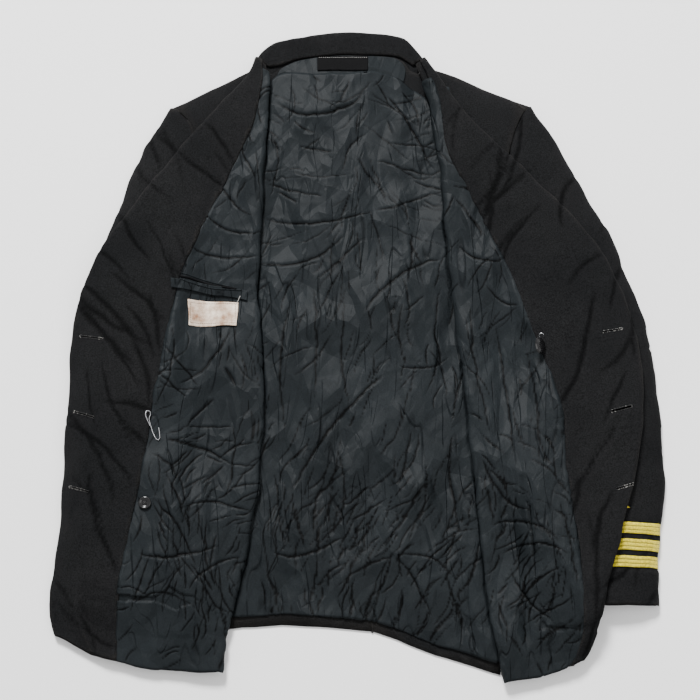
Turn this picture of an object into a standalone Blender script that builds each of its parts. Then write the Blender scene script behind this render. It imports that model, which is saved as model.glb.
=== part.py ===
"""Naval officer's double-breasted service dress jacket, laid open on its back.

Lengths are in millimetres until a solid is made.  X runs across the jacket, Y towards
the collar and Z up from the table.  Left and right are the wearer's, so the right front
is on the -X side.  Each front runs from its side seam to an inner fold, turns over
there and lies folded out over the sleeve, inside up.
"""
import functools
import math
from collections import namedtuple

import bmesh
import bpy
import numpy as np
from mathutils import Matrix, Vector
from mathutils.geometry import tessellate_polygon

MM = 0.001

# Cloth walls and the air between two cloths that touch.
WOOL = 1.6
LINING = 1.0
COLLAR = 2.0
TRIM = 0.8
AIR = 0.4
SEAM = 0.3

# Levels over the table: the back lining lies on the back, the fronts' path over that.
BACK_LINING_Z = WOOL + AIR
CLOTH_SIDE = 0.2
FRONT_Z = BACK_LINING_Z + LINING + AIR + LINING + CLOTH_SIDE
FRONT_TOP = CLOTH_SIDE + WOOL
FOLD_RADIUS = 4.0
SIDE_RADIUS = 2.4
SIDE_TOP = FRONT_Z + FRONT_TOP
SLEEVE_ON_BODY = SIDE_TOP + 0.8

# The shoulders stand up a little on their pads, and the back lies on the collar's fall.
PAD_RISE = 6.0
SHOULDER_SEAM_Z = 3.0
SHOULDER_ROUND = 18.0
NECK_RISE = 2.6
NECK_FROM = 245.0
NECK_LENGTH = 80.0

# The facing turns round the front edge; above the roll point it goes on as the lapel.
EDGE_RADIUS = 2.0
EDGE_OUTSIDE = 2.8
LIP = 3.0
UNDER_LEG = 4.1

# The cuff stands over the table by the lace that goes round under it.
CUFF_Y = -316.0
CUFF_LIFT = 1.5
CUFF_LIFT_TO = -215.0
ARMPIT_Y = 68.0
ARCH_POWER = 2.6
UNDER_SLEEVE_INSET = 3.8
FULLNESS = 11.0

LACE_WIDTH = 12.7
LACE_PITCH = 19.0
LACE_FIRST_Y = -273.5
STAR_RADIUS = 12.7
TRIM_STACK = 2.6
STAR_Y = -203.0

# Cells across each part of a front: lower leg, fold, lining part, facing part.
CELLS_LOWER = (1.0, 0.72, 0.45, 0.22)
CELLS_NEAR_FOLD = (26.0, 12.0)
CELLS_FOLD = 5
CELLS_LINING = 6
CELLS_FACING = 5
CELLS_EDGE = 4
CELLS_LAPEL = 3
FRONT_ROWS = 20

FrontRow = namedtuple("FrontRow", "side_x side_y fold_x fold_y seam sag edge_x edge_y lapel")
SideRow = namedtuple("SideRow", "back_x back_y fold_x fold_y front_x front_y")
SleeveRow = namedtuple("SleeveRow", "y outer inner top")
CollarRow = namedtuple("CollarRow", "seam_x seam_y roll_x roll_y fall_x fall_y")
Ridge = namedtuple("Ridge", "x0 y0 x1 y1 width height")
Side = namedtuple("Side", "name sign front panel sleeve shoulder pad_from ridges")

# side: the seam or armhole; fold: the inner fold; seam: where the facing starts, as a
# share of the way to the edge; sag: how far the row bows towards the hem.
RIGHT_FRONT = [
    FrontRow(-224, -354, -154, -388, 0.62, 14, -344, -349, 0),
    FrontRow(-220, -309, -145, -323, 0.61, 3, -354, -309, 0),
    FrontRow(-213, -247, -126, -242, 0.62, 0, -346, -247, 0),
    FrontRow(-204, -170, -115, -161, 0.59, 0, -344, -170, 0),
    FrontRow(-202, -84, -113, -83, 0.56, 0, -342, -84, 0),
    FrontRow(-215, -3, -119, -4, 0.48, 0, -343, -3, 0),
    FrontRow(-209, 69, -124, 73, 0.44, 0, -328, 72, 55),
    FrontRow(-193, 137, -120, 145, 0.39, 0, -288, 143, 75),
    FrontRow(-192, 205, -118, 215, 0.28, 0, -238, 213, 70),
    FrontRow(-206, 267, -115, 285, 0.14, 0, -187, 282, 42),
    FrontRow(-223, 289, -112, 331, 0.26, 0, -139, 339, 8),
    FrontRow(-233, 298, -116, 355, 0.40, 0, -130, 364, 2),
]
LEFT_FRONT = [
    FrontRow(190, -391, 162, -401, 0.84, 3, 250, -375, 0),
    FrontRow(195, -354, 154, -354, 0.89, 3, 262, -353, 0),
    FrontRow(203, -306, 144, -304, 0.82, 0, 276, -306, 0),
    FrontRow(207, -245, 141, -242, 0.70, 0, 294, -245, 0),
    FrontRow(208, -166, 134, -167, 0.55, 0, 319, -167, 0),
    FrontRow(209, -85, 128, -83, 0.52, 0, 332, -86, 0),
    FrontRow(215, -13, 119, -10, 0.43, 0, 329, -14, 0),
    FrontRow(208, 57, 112, 59, 0.37, 0, 315, 59, 50),
    FrontRow(184, 119, 107, 123, 0.30, 0, 280, 123, 72),
    FrontRow(179, 168, 106, 175, 0.23, 0, 234, 174, 72),
    FrontRow(183, 221, 102, 221, 0.12, 0, 190, 226, 50),
    FrontRow(193, 266, 96, 268, 0.14, 0, 144, 272, 20),
    FrontRow(206, 288, 86, 315, 0.35, 0, 108, 321, 4),
    FrontRow(214, 300, 70, 358, 0.40, 0, 84, 366, 2),
]

RIGHT_SIDE = [
    SideRow(-150, -343, -273, -360, -225, -354),
    SideRow(-150, -309, -270, -312, -221, -309),
    SideRow(-150, -247, -261, -247, -214, -247),
    SideRow(-150, -170, -253, -170, -205, -170),
    SideRow(-150, -84, -251, -84, -203, -84),
    SideRow(-150, -3, -264, -3, -216, -3),
    SideRow(-150, 30, -268, 42, -214, 42),
    SideRow(-152, 42, -268, 62, -211, 64),
]
LEFT_SIDE = [
    SideRow(160, -392, 240, -382, 191, -391),
    SideRow(160, -354, 245, -354, 196, -354),
    SideRow(156, -306, 253, -306, 204, -306),
    SideRow(150, -245, 258, -245, 208, -245),
    SideRow(146, -166, 260, -166, 209, -166),
    SideRow(144, -85, 261, -85, 210, -85),
    SideRow(144, -13, 267, -13, 216, -13),
    SideRow(144, 25, 270, 35, 213, 35),
    SideRow(148, 36, 270, 52, 210, 53),
]

# outer and inner edge of the flat sleeve at a height up the jacket, and its thickness.
RIGHT_SLEEVE = [
    SleeveRow(-316, -304, -173, 14.0),
    SleeveRow(-264, -311, -183, 14.5),
    SleeveRow(-217, -317, -191, 14.8),
    SleeveRow(-185, -321, -195, 15.0),
    SleeveRow(-137, -324, -200, 15.5),
    SleeveRow(-77, -325, -210, 15.5),
    SleeveRow(-3, -325, -218, 16.0),
    SleeveRow(47, -323, -217, 16.5),
    SleeveRow(66, -321, -212, 17.0),
    SleeveRow(85, -318, -206, 17.0),
    SleeveRow(124, -310, -198, 18.0),
    SleeveRow(176, -289, -194, 18.0),
    SleeveRow(203, -283, -194, 18.0),
    SleeveRow(230, -276, -199, 17.0),
    SleeveRow(257, -261, -206, 15.0),
    SleeveRow(275, -249, -213, 11.0),
    SleeveRow(289, -241, -225, 8.0),
    SleeveRow(295, -238, -232, 6.0),
]
LEFT_SLEEVE = [
    SleeveRow(-316, 340, 206, 15.0),
    SleeveRow(-264, 342, 201, 15.0),
    SleeveRow(-219, 348, 201, 15.5),
    SleeveRow(-178, 354, 201, 16.0),
    SleeveRow(-125, 358, 206, 16.0),
    SleeveRow(-77, 353, 209, 16.0),
    SleeveRow(-15, 351, 215, 16.5),
    SleeveRow(46, 337, 213, 17.0),
    SleeveRow(66, 330, 207, 17.5),
    SleeveRow(85, 323, 200, 17.5),
    SleeveRow(119, 311, 187, 18.0),
    SleeveRow(149, 299, 181, 18.0),
    SleeveRow(190, 276, 181, 18.0),
    SleeveRow(230, 258, 188, 17.0),
    SleeveRow(257, 245, 195, 15.0),
    SleeveRow(275, 234, 200, 11.0),
    SleeveRow(290, 221, 209, 8.0),
    SleeveRow(297, 218, 213, 6.0),
]

# Long folds of the folded-out fronts: from, to, width of the fold and its height.
RIGHT_RIDGES = [
    Ridge(-134, -40, -146, -340, 24, 5),
    Ridge(-190, -20, -176, -200, 22, 4),
    Ridge(-222, -90, -214, -350, 22, 4),
    Ridge(-142, 70, -178, -110, 22, 4),
    Ridge(-320, -60, -262, -240, 20, 4),
    Ridge(-338, -200, -284, -334, 20, 4),
    Ridge(-280, 90, -250, -60, 22, 3),
]
LEFT_RIDGES = [
    Ridge(140, 20, 166, -350, 24, 5),
    Ridge(176, -60, 206, -330, 22, 4),
    Ridge(214, 40, 236, -260, 22, 3),
    Ridge(128, 160, 170, 20, 22, 4),
    Ridge(266, 60, 290, -190, 22, 3),
]

RIGHT = Side("right", -1, RIGHT_FRONT, RIGHT_SIDE, RIGHT_SLEEVE,
             ((-116, 356), (-234, 299)), 125, RIGHT_RIDGES)
LEFT = Side("left", 1, LEFT_FRONT, LEFT_SIDE, LEFT_SLEEVE,
            ((70, 359), (215, 301)), 90, LEFT_RIDGES)

# Outlines of the flat back panels, from hem to neck.
CENTRE_BACK = [(14, -345), (10, -264), (5, -172), (1, -76), (-3, 48), (-6, 177), (-10, 312),
               (-11, 373)]
RIGHT_HEM = [(-149, -342), (-116, -339), (-79, -337), (-28, -340), (14, -345)]
LEFT_HEM = [(14, -345), (47, -356), (77, -369), (109, -378), (129, -384), (159, -392)]
RIGHT_SHOULDER = [(-231, 295), (-192, 313), (-154, 332), (-117, 349), (-109, 347), (-103, 352),
                  (-94, 359), (-76, 368.5), (-47, 372), (-11, 373)]
LEFT_SHOULDER = [(-11, 373), (25, 372.5), (49, 371), (57.5, 365), (61.5, 356), (65, 351.5),
                 (76, 349), (120, 333), (166, 315), (212, 297)]
RIGHT_BACK_SIDE = [(-149, -342), (-149, -280), (-149, -210), (-149, -140), (-149, -70), (-149, 0),
                   (-149, 42), (-156, 70), (-190, 98)]
LEFT_BACK_SIDE = [(159, -392), (159, -354), (155, -306), (149, -245), (145, -166), (143, -85),
                  (143, -20), (143, 25), (150, 60), (184, 96)]

LINING_HEM = [(-168, -326), (-145, -328), (-113, -327), (-79, -325), (-28, -327), (12, -331),
              (47, -343), (77, -356), (109, -365), (129, -370), (158, -378), (184, -381)]
LINING_TOP = [(-138, 312), (-117, 330), (-104, 343), (-94, 350), (-70, 347), (-44, 344.5),
              (-14, 346), (17, 350), (40, 345), (58, 334), (78, 318), (98, 300)]
LINING_RIGHT = [(-168, -326), (-160, -200), (-150, -80), (-150, 100), (-148, 200), (-138, 312)]
LINING_LEFT = [(184, -381), (172, -250), (165, -100), (150, 0), (140, 60), (136, 150),
               (126, 230), (98, 300)]
NECK_FACING_LOW = [(-103, 344.5), (-94, 351), (-70, 348), (-44, 345.5), (-14, 347), (17, 351),
                   (40, 346), (57, 336)]
NECK_FACING_TOP = [(-101, 352), (-94, 358), (-76, 368), (-47, 371.5), (-11, 372), (25, 371.5),
                   (47, 370), (56, 364), (60, 352)]

BACK_RIDGES = [
    Ridge(-112, 306, -20, 294, 20, 5),
    Ridge(-96, 266, 0, 262, 20, 4),
    Ridge(24, 318, 96, 214, 18, 4),
    Ridge(8, 282, 62, 190, 20, 4),
    Ridge(-105, 158, -12, 170, 22, 4),
    Ridge(-92, 100, 0, 124, 22, 4),
    Ridge(0, 62, 90, 112, 20, 4),
    Ridge(-10, 18, 84, 60, 20, 4),
    Ridge(-92, 56, -84, -130, 22, 4),
    Ridge(-48, 50, -52, -100, 22, 5),
    Ridge(2, -5, -14, -120, 20, 4),
    Ridge(62, 20, 76, -120, 22, 4),
    Ridge(52, -70, -54, -214, 22, 5),
    Ridge(100, -130, 18, -262, 22, 5),
    Ridge(-96, -236, -18, -214, 20, 4),
    Ridge(-96, -286, -8, -262, 20, 5),
    Ridge(112, -190, 140, -350, 22, 5),
    Ridge(62, -262, 76, -346, 18, 4),
]

COLLAR_ROWS = [
    CollarRow(-114.5, 357, -129, 366.5, -119, 338),
    CollarRow(-107, 358, -123, 379, -104, 338),
    CollarRow(-95, 362, -107, 391, -88, 342),
    CollarRow(-77, 370.5, -83, 398, -72, 349),
    CollarRow(-47, 374, -49, 403, -45, 353),
    CollarRow(-11, 374.5, -11, 405, -11, 354),
    CollarRow(25, 374, 28, 404, 24, 353),
    CollarRow(50, 373, 57, 400, 42, 350),
    CollarRow(60, 367.5, 71, 388, 55, 341),
    CollarRow(68.5, 360.5, 82.5, 368.5, 72, 338),
]
COLLAR_ROLL_Z = 3.7
COLLAR_ROLL_RADIUS = 2.6

NECK_LABEL = (-53, 12, 351.5, 370.5)
POCKET_LABEL = [(-203, 12), (-147, 12), (-145, 40), (-205, 43)]
WELT_LINE = [(-224, 63), (-203, 60), (-179, 56), (-149, 52), (-134, 49)]
WELT_HEIGHT = 12.0
BUTTON_AT = (-245, -202)
TILTED_BUTTON_AT = (211, -17)
PIN_PATH = [(-243, -112), (-246, -106), (-249, -99), (-248, -94), (-244, -94), (-243, -98),
            (-245, -103), (-243, -110), (-240, -119), (-236, -127), (-233, -129), (-231, -126),
            (-232, -119), (-233, -114)]
PIN_WIRE = 0.6

NAVY = (0.013, 0.014, 0.018)
SATIN = (0.035, 0.045, 0.052)
GOLD = (0.60, 0.44, 0.13)
TAN = (0.55, 0.42, 0.27)
BLACK = (0.01, 0.01, 0.011)
STEEL = (0.6, 0.6, 0.62)


def clear_scene():
    """Start from an empty scene."""
    for item in list(bpy.data.objects):
        bpy.data.objects.remove(item, do_unlink=True)


def smooth(value):
    """Ease from 0 to 1."""
    value = min(max(value, 0.0), 1.0)
    return value * value * (3 - 2 * value)


def rounding(value):
    """Quarter circle from 0 to 1."""
    value = min(max(value, 0.0), 1.0)
    return math.sqrt(1 - (1 - value) ** 2)


def finish(name, mesh_data, colour, roughness=0.9, metallic=0.0):
    """Make the named solid with its own material from vertices in millimetres."""
    vertices, faces = mesh_data
    mesh = bpy.data.meshes.new(name)
    mesh.from_pydata([tuple(MM * c for c in v) for v in vertices], [], faces)
    solid = bmesh.new()
    solid.from_mesh(mesh)
    bmesh.ops.recalc_face_normals(solid, faces=solid.faces)
    solid.to_mesh(mesh)
    solid.free()
    mesh.shade_smooth()
    made = bpy.data.objects.new(name, mesh)
    bpy.context.scene.collection.objects.link(made)
    material = bpy.data.materials.new(name + "_material")
    material.use_nodes = True
    shader = material.node_tree.nodes["Principled BSDF"]
    shader.inputs["Base Color"].default_value = (*colour, 1.0)
    shader.inputs["Roughness"].default_value = roughness
    shader.inputs["Metallic"].default_value = metallic
    mesh.materials.append(material)
    return made


def two_skins(upper, lower, ring=False):
    """Close two grids of points into one solid; a ring joins its last column to its first."""
    rows, columns = upper.shape[:2]
    count = rows * columns
    vertices = [tuple(p) for p in upper.reshape(-1, 3)] + [tuple(p) for p in lower.reshape(-1, 3)]
    faces = []
    spans = columns if ring else columns - 1

    def add_wall(a, b):
        faces.append((a, b, b + count))
        faces.append((a, b + count, a + count))

    for i in range(rows - 1):
        for j in range(spans):
            a = i * columns + j
            b = i * columns + (j + 1) % columns
            c, d = b + columns, a + columns
            for shift in (0, count):
                faces.append((a + shift, b + shift, c + shift))
                faces.append((a + shift, c + shift, d + shift))
        if not ring:
            add_wall(i * columns, (i + 1) * columns)
            add_wall((i + 1) * columns - 1, (i + 2) * columns - 1)
    for j in range(spans):
        for row in (0, rows - 1):
            add_wall(row * columns + j, row * columns + (j + 1) % columns)
    return vertices, faces


def normals(grid, sign):
    """Unit normals of a grid of points."""
    across = np.gradient(grid, axis=0)
    along = np.gradient(grid, axis=1)
    turned = np.cross(across, along) * sign
    return turned / np.linalg.norm(turned, axis=2, keepdims=True)


def band(path, facing, low, high):
    """A wall between two offsets of a path grid."""
    return two_skins(path + facing * high, path + facing * low)


def spline(rows, count):
    """The table's columns at evenly spaced places, smoothly joined."""
    table = np.array(rows, dtype=float)
    places = np.linspace(0, len(table) - 1, count)
    result = []
    for place in places:
        k = min(int(place), len(table) - 2)
        t = place - k
        before = table[max(k - 1, 0)]
        start, end = table[k], table[k + 1]
        after = table[min(k + 2, len(table) - 1)]
        result.append(0.5 * (2 * start + (end - before) * t
                             + (2 * before - 5 * start + 4 * end - after) * t ** 2
                             + (3 * start - before - 3 * end + after) * t ** 3))
    return np.array(result)


def shares(points):
    """How far along a line of points each one is, from 0 to 1."""
    points = np.array(points, dtype=float)
    steps = np.linalg.norm(np.diff(points, axis=0), axis=1)
    travelled = np.concatenate(([0], np.cumsum(steps)))
    return travelled / travelled[-1]


def resample(points, places):
    """Points at shares along a line of points, or at an even count of them."""
    if isinstance(places, int):
        places = np.linspace(0, 1, places)
    points = np.array(points, dtype=float)
    along = shares(points)
    return np.stack([np.interp(places, along, points[:, k]) for k in range(2)], axis=1)


def patch(low, top, left, right, across, up):
    """A plan grid that fills four border lines, with nodes at shares across and up."""
    across = np.linspace(0, 1, across) if isinstance(across, int) else across
    up = np.linspace(0, 1, up) if isinstance(up, int) else up
    low, top = resample(low, across), resample(top, across)
    left, right = resample(left, up), resample(right, up)
    grid = np.zeros((len(up), len(across), 2))
    for i, v in enumerate(up):
        for j, u in enumerate(across):
            corners = ((1 - u) * (1 - v) * low[0] + u * (1 - v) * low[-1]
                       + (1 - u) * v * top[0] + u * v * top[-1])
            grid[i, j] = ((1 - v) * low[j] + v * top[j] + (1 - u) * left[i] + u * right[i]
                          - corners)
    return grid


def raised(plan, level):
    """Plan points with a height from the function level(x, y)."""
    return np.array([[(x, y, level(x, y)) for x, y in row] for row in plan])


def plate(plan, level, wall):
    """A flat panel of the given wall over its lower level."""
    lower = raised(plan, level)
    return two_skins(lower + np.array((0, 0, wall)), lower)


def ridge_height(ridges, x, y):
    """How far the long folds lift the cloth at a point."""
    lift = 0.0
    for fold in ridges:
        start = np.array((fold.x0, fold.y0), dtype=float)
        line = np.array((fold.x1, fold.y1)) - start
        length = float(np.hypot(*line))
        offset = np.array((x, y)) - start
        place = float(offset @ line) / length ** 2
        away = float(np.hypot(*(offset - line * min(max(place, 0), 1))))
        taper = smooth(place / 0.25) * smooth((1 - place) / 0.25)
        lift += fold.height * taper * math.exp(-(away / (0.6 * fold.width)) ** 2)
    return lift


def neck_rise(y):
    """The back of the neck lies on the collar's fall."""
    return NECK_RISE * min(max((y - NECK_FROM) / NECK_LENGTH, 0), 1)


def line_distance(point, ends):
    """How far a point is from the straight line through two points."""
    (ax, ay), (bx, by) = ends
    length = math.hypot(bx - ax, by - ay)
    return abs((bx - ax) * (ay - point[1]) - (ax - point[0]) * (by - ay)) / length


def front_level(side, x, y):
    """Height of the lower leg's path, between its lining and its wool."""
    flat = FRONT_Z + neck_rise(y)
    flat += PAD_RISE * smooth((side.sign * x - side.pad_from) / 60) * smooth((y - 150) / 90)
    seam = SHOULDER_SEAM_Z + neck_rise(y)
    if y < 200:
        return flat
    return seam + (flat - seam) * rounding(line_distance((x, y), side.shoulder) / SHOULDER_ROUND)


@functools.lru_cache
def armhole_line(sign):
    """Heights and outward places of a front's seam and armhole."""
    rows = spline(RIGHT_FRONT if sign < 0 else LEFT_FRONT, 60)
    return rows[:, 1], sign * rows[:, 0]


def armhole(side, y):
    """How far out the front's seam or armhole is at a height."""
    return float(np.interp(y, *armhole_line(side.sign)))


def body_edge(side, y):
    """How far out the body reaches at a height."""
    if y > ARMPIT_Y:
        return armhole(side, y)
    table = np.array(side.panel, dtype=float)
    return float(np.interp(y, table[:, 3], side.sign * table[:, 2]))


def sleeve_base(side, x, y):
    """The lower face of the sleeve, on the table and up over the body's side."""
    ramp = (body_edge(side, min(y, ARMPIT_Y)) + 12 - side.sign * x) / 13.5
    ramp = min(max(ramp, 0), 1) * (1 - smooth((y - ARMPIT_Y) / 16))
    return SLEEVE_ON_BODY * ramp + cuff_lift(y)


def cuff_lift(y):
    """The cuff stands over the lace that goes under it."""
    return CUFF_LIFT * smooth((CUFF_LIFT_TO + 25 - y) / 25)


def sleeve_at(side, y):
    """Outer and inner edge, top, inner foot's height, and how far the inner edge is open."""
    table = np.array(side.sleeve, dtype=float)
    outer, inner, top = (float(np.interp(y, table[:, 0], table[:, k])) for k in (1, 2, 3))
    is_open = smooth((y - ARMPIT_Y - 4) / 30)
    hole = side.sign * (armhole(side, y) + 1.3)
    inner = inner + (hole - inner) * smooth((y - ARMPIT_Y) / 16)
    closed_level = SLEEVE_ON_BODY + cuff_lift(y)
    open_level = front_level(side, hole - 2 * side.sign, y) + FRONT_TOP
    level = closed_level + (open_level - closed_level) * is_open
    least = FULLNESS * (1 - is_open) + 1.5 * min(1, abs(outer - inner) / 60)
    return outer, inner, max(top, level + least), level, is_open


def sleeve_point(side, y, place):
    """A point of the sleeve's upper face; place runs from -1 at the outer edge to 1."""
    outer, inner, top, level, is_open = sleeve_at(side, y)
    middle, half = (outer + inner) / 2, (inner - outer) / 2
    power = 2 / ARCH_POWER
    angle = abs(place) * math.pi / 2
    out, up = math.sin(angle) ** power, max(math.cos(angle), 0.0) ** power
    base = cuff_lift(y)
    if place > 0:
        out += (place - out) * is_open
        up += (1 - place ** 2 - up) * is_open
        base = level
    return (middle + math.copysign(out, place) * half, y, base + (top - base) * up)


def sleeve_height(side, x, y):
    """Top of the sleeve over a plan point, or nothing beside it."""
    if not side.sleeve[0].y <= y <= side.sleeve[-1].y:
        return 0.0
    outer, inner, top, level, is_open = sleeve_at(side, y)
    across = (x - (outer + inner) / 2) / ((inner - outer) / 2)
    if abs(across) >= 1:
        return 0.0
    up = (1 - abs(across) ** ARCH_POWER) ** (1 / ARCH_POWER)
    base = cuff_lift(y)
    if across > 0:
        up += (1 - across ** 2 - up) * is_open
        base = level
    return base + (top - base) * up


def below_front(side, x, y):
    """Top of whatever lies under the folded-out front."""
    level = sleeve_height(side, x, y)
    if level and y < STAR_Y + STAR_RADIUS:
        level += TRIM_STACK
    if side.sign * x <= body_edge(side, y):
        level = max(level, front_level(side, x, y) + FRONT_TOP)
    return level


def draped(side, x, y):
    """The level that a cloth over all this bridges at."""
    return max(below_front(side, x + dx, y + dy) for dx in (-16, -8, 0, 8, 16)
               for dy in (-24, -12, 0, 12, 24))


def front_path(side):
    """The front's path from side seam round the inner fold to the edge, row by row."""
    grid, ends = [], []
    for row in spline(side.front, FRONT_ROWS):
        values = FrontRow(*row)
        side_point = np.array((values.side_x, values.side_y))
        fold = np.array((values.fold_x, values.fold_y))
        edge = np.array((values.edge_x, values.edge_y))
        out = (edge - fold) / np.linalg.norm(edge - fold)
        turn = fold + out * (FOLD_RADIUS + CLOTH_SIDE + LINING)
        low = front_level(side, *turn)
        points = lower_leg(side, side_point, turn)
        for k in range(1, CELLS_FOLD):
            angle = math.pi * k / CELLS_FOLD
            plan = turn - out * FOLD_RADIUS * math.sin(angle)
            points.append((*plan, low + FOLD_RADIUS * (1 - math.cos(angle))))
        points += upper_leg(side, values, turn, edge - out * EDGE_OUTSIDE, low)
        grid.append(points)
        ends.append((out, values.lapel))
    return np.array(grid), ends


def lower_leg(side, side_point, turn):
    """Points of the front that lies on the back, from side seam to fold."""
    back = side_point - turn
    length = float(np.linalg.norm(back))
    places = list(CELLS_LOWER)
    places += [min(away / length, 0.2 * k) for away, k in zip(CELLS_NEAR_FOLD, (1, 0.5))]
    points = []
    for share in places:
        x, y = turn + back * share
        points.append((x, y, front_level(side, x, y)))
    points.append((*turn, front_level(side, *turn)))
    return points


def upper_leg(side, values, turn, end, low):
    """Points of the folded-out front, from fold to edge, with the facing seam as a node."""
    span = end - turn
    length = float(np.linalg.norm(span))
    places = [values.seam * k / CELLS_LINING for k in range(CELLS_LINING)]
    places += [values.seam + (1 - values.seam) * k / CELLS_FACING for k in range(CELLS_FACING + 1)]
    room = CLOTH_SIDE + WOOL + 2 * AIR
    folded_room = UNDER_LEG + WOOL / 2 + 2 * AIR
    points = []
    for share in places:
        folded = max(smooth(values.lapel / 20), smooth((30 - length * (1 - share)) / 18))
        x, y = turn + span * share
        y -= values.sag * 4 * share * (1 - share)
        level = draped(side, x, y) + room + (folded_room - room) * folded
        level = max(level, UNDER_LEG + WOOL / 2 + AIR) + ridge_height(side.ridges, x, y)
        settled = smooth(share * length / 30)
        points.append((x, y, (low + 2 * FOLD_RADIUS) * (1 - settled) + level * settled))
    return points


def make_front(side):
    """The front, its lining and its facing, which all share one path."""
    path, ends = front_path(side)
    out = normals(path, -side.sign)
    finish("front_" + side.name, band(path, out, -CLOTH_SIDE - WOOL, -CLOTH_SIDE), NAVY)

    first = len(CELLS_LOWER)
    seam = path.shape[1] - 1 - CELLS_FACING
    lining = path[:-1, first:seam + 1].copy()
    step = lining[:, -1] - lining[:, -2]
    lining[:, -1] -= step / np.linalg.norm(step, axis=1, keepdims=True) * SEAM
    lining_out = out[:-1, first:seam + 1]
    finish("front_lining_" + side.name,
           band(lining, lining_out, CLOTH_SIDE, CLOTH_SIDE + LINING), SATIN, 0.4)

    centre = []
    for row, (direction, lapel) in enumerate(ends):
        centre.append(facing_row(path[row], out[row], seam, direction, lapel))
    centre = np.array(centre)
    facing_out = normals(centre, -side.sign)
    finish("facing_" + side.name, band(centre, facing_out, -WOOL / 2, WOOL / 2), NAVY)
    return (lining + lining_out * (CLOTH_SIDE + LINING), centre + facing_out * (WOOL / 2))


def facing_row(path, out, seam, direction, lapel):
    """Middle of the facing's wall: over the front, round its edge and back under it."""
    points = []
    for k in range(seam, len(path)):
        points.append(path[k] + out[k] * (CLOTH_SIDE + WOOL / 2))
    points[0] = points[0] + (points[1] - points[0]) / np.linalg.norm(points[1] - points[0]) * SEAM
    flat = np.array((*direction, 0.0))
    under = UNDER_LEG
    radius = (CLOTH_SIDE + WOOL / 2 + under) / 2
    middle = path[-1] + out[-1] * (CLOTH_SIDE + WOOL / 2 - radius)
    for k in range(1, CELLS_EDGE):
        angle = math.pi * k / CELLS_EDGE
        points.append(middle + flat * EDGE_RADIUS * math.sin(angle)
                      + out[-1] * radius * math.cos(angle))
    for point, turned in walk_back(path[::-1], out[::-1], max(lapel, LIP)):
        points.append(point - turned * under)
    return points


def walk_back(path, out, length):
    """Points and normals from the start of a path, at its own nodes as far as the length."""
    steps = np.linalg.norm(np.diff(path, axis=0), axis=1)
    travelled = np.concatenate(([0], np.cumsum(steps)))
    found = []
    for k in range(CELLS_LAPEL + 1):
        place = max(min(travelled[k], length - (CELLS_LAPEL - k)), 0)
        point = np.array([np.interp(place, travelled, path[:, c]) for c in range(3)])
        turned = np.array([np.interp(place, travelled, out[:, c]) for c in range(3)])
        found.append((point, turned / np.linalg.norm(turned)))
    return found


def make_side(side):
    """The side panel, bent round the body's edge from the back to the front."""
    grid = []
    for row in spline(side.panel, 12):
        values = SideRow(*row)
        back = np.array((values.back_x, values.back_y))
        fold = np.array((values.fold_x - side.sign * (SIDE_RADIUS + WOOL / 2), values.fold_y))
        front = np.array((values.front_x + side.sign * 0.5, values.front_y))
        points = [(*(back + (fold - back) * t), WOOL / 2) for t in (0, 0.35, 0.7)]
        for k in range(5):
            angle = math.pi * k / 4
            x = fold[0] + side.sign * SIDE_RADIUS * math.sin(angle)
            points.append((x, fold[1], WOOL / 2 + SIDE_RADIUS * (1 - math.cos(angle))))
        for t in (0.5, 1):
            points.append((*(fold + (front - fold) * t), WOOL / 2 + 2 * SIDE_RADIUS))
        grid.append(points)
    grid = np.array(grid)
    out = normals(grid, side.sign)
    finish("side_" + side.name, band(grid, out, -WOOL / 2, WOOL / 2), NAVY)


def make_back(side, low, top, border, mirrored):
    """One back panel from the centre seam to side seam and armhole."""
    hole = [(side.sign * (armhole(side, row.y) + 3.2), row.y) for row in side.sleeve
            if row.y > 110]
    border = border + hole + [top[-1] if mirrored else top[0]]
    centre = [(x + side.sign * SEAM, y) for x, y in CENTRE_BACK]
    if mirrored:
        low = [centre[0]] + low[1:]
        top = [centre[-1]] + top[1:]
        plan = patch(low, top, centre, border, shares(top), shares(border))
    else:
        low = low[:-1] + [centre[0]]
        top = top[:-1] + [centre[-1]]
        plan = patch(low, top, border, centre, shares(top), shares(border))
    finish("back_" + side.name, plate(plan, lambda x, y: neck_rise(y), WOOL), NAVY)


def inner_fold(side, y):
    """Where the front's inner fold is at a height."""
    rows = np.array(side.front, dtype=float)
    return float(np.interp(y, rows[:, 3], side.sign * rows[:, 2]))


def back_lining_level(x, y):
    """The back lining, low under the fronts and in folds between them."""
    clear = min(inner_fold(LEFT, y) - x, inner_fold(RIGHT, y) + x) - 4
    free = smooth(clear / 26) * smooth((340 - y) / 30)
    return BACK_LINING_Z + neck_rise(y) + free * ridge_height(BACK_RIDGES, x, y)


def make_back_linings():
    """The back lining and the strip of lining above it, round the neck."""
    plan = patch(LINING_HEM, LINING_TOP, LINING_RIGHT, LINING_LEFT, 21, 28)
    finish("back_lining", plate(plan, back_lining_level, LINING), SATIN, 0.4)
    left = [NECK_FACING_LOW[0], NECK_FACING_TOP[0]]
    right = [NECK_FACING_LOW[-1], NECK_FACING_TOP[-1]]
    plan = patch(NECK_FACING_LOW, NECK_FACING_TOP, left, right, 15, 3)
    finish("back_neck_facing",
           plate(plan, lambda x, y: BACK_LINING_Z + neck_rise(y), LINING), SATIN, 0.4)


def sleeve_rows(side):
    """Heights up the jacket where the sleeve has a section."""
    return np.array([row.y for row in side.sleeve], dtype=float)


def sleeve_grid(side, rows):
    """The sleeve's upper face from outer to inner edge."""
    places = (-1, -0.84, -0.66, -0.45, -0.22, 0, 0.25, 0.5, 0.7, 0.86, 1)
    return np.array([[sleeve_point(side, y, place) for place in places] for y in rows])


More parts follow.
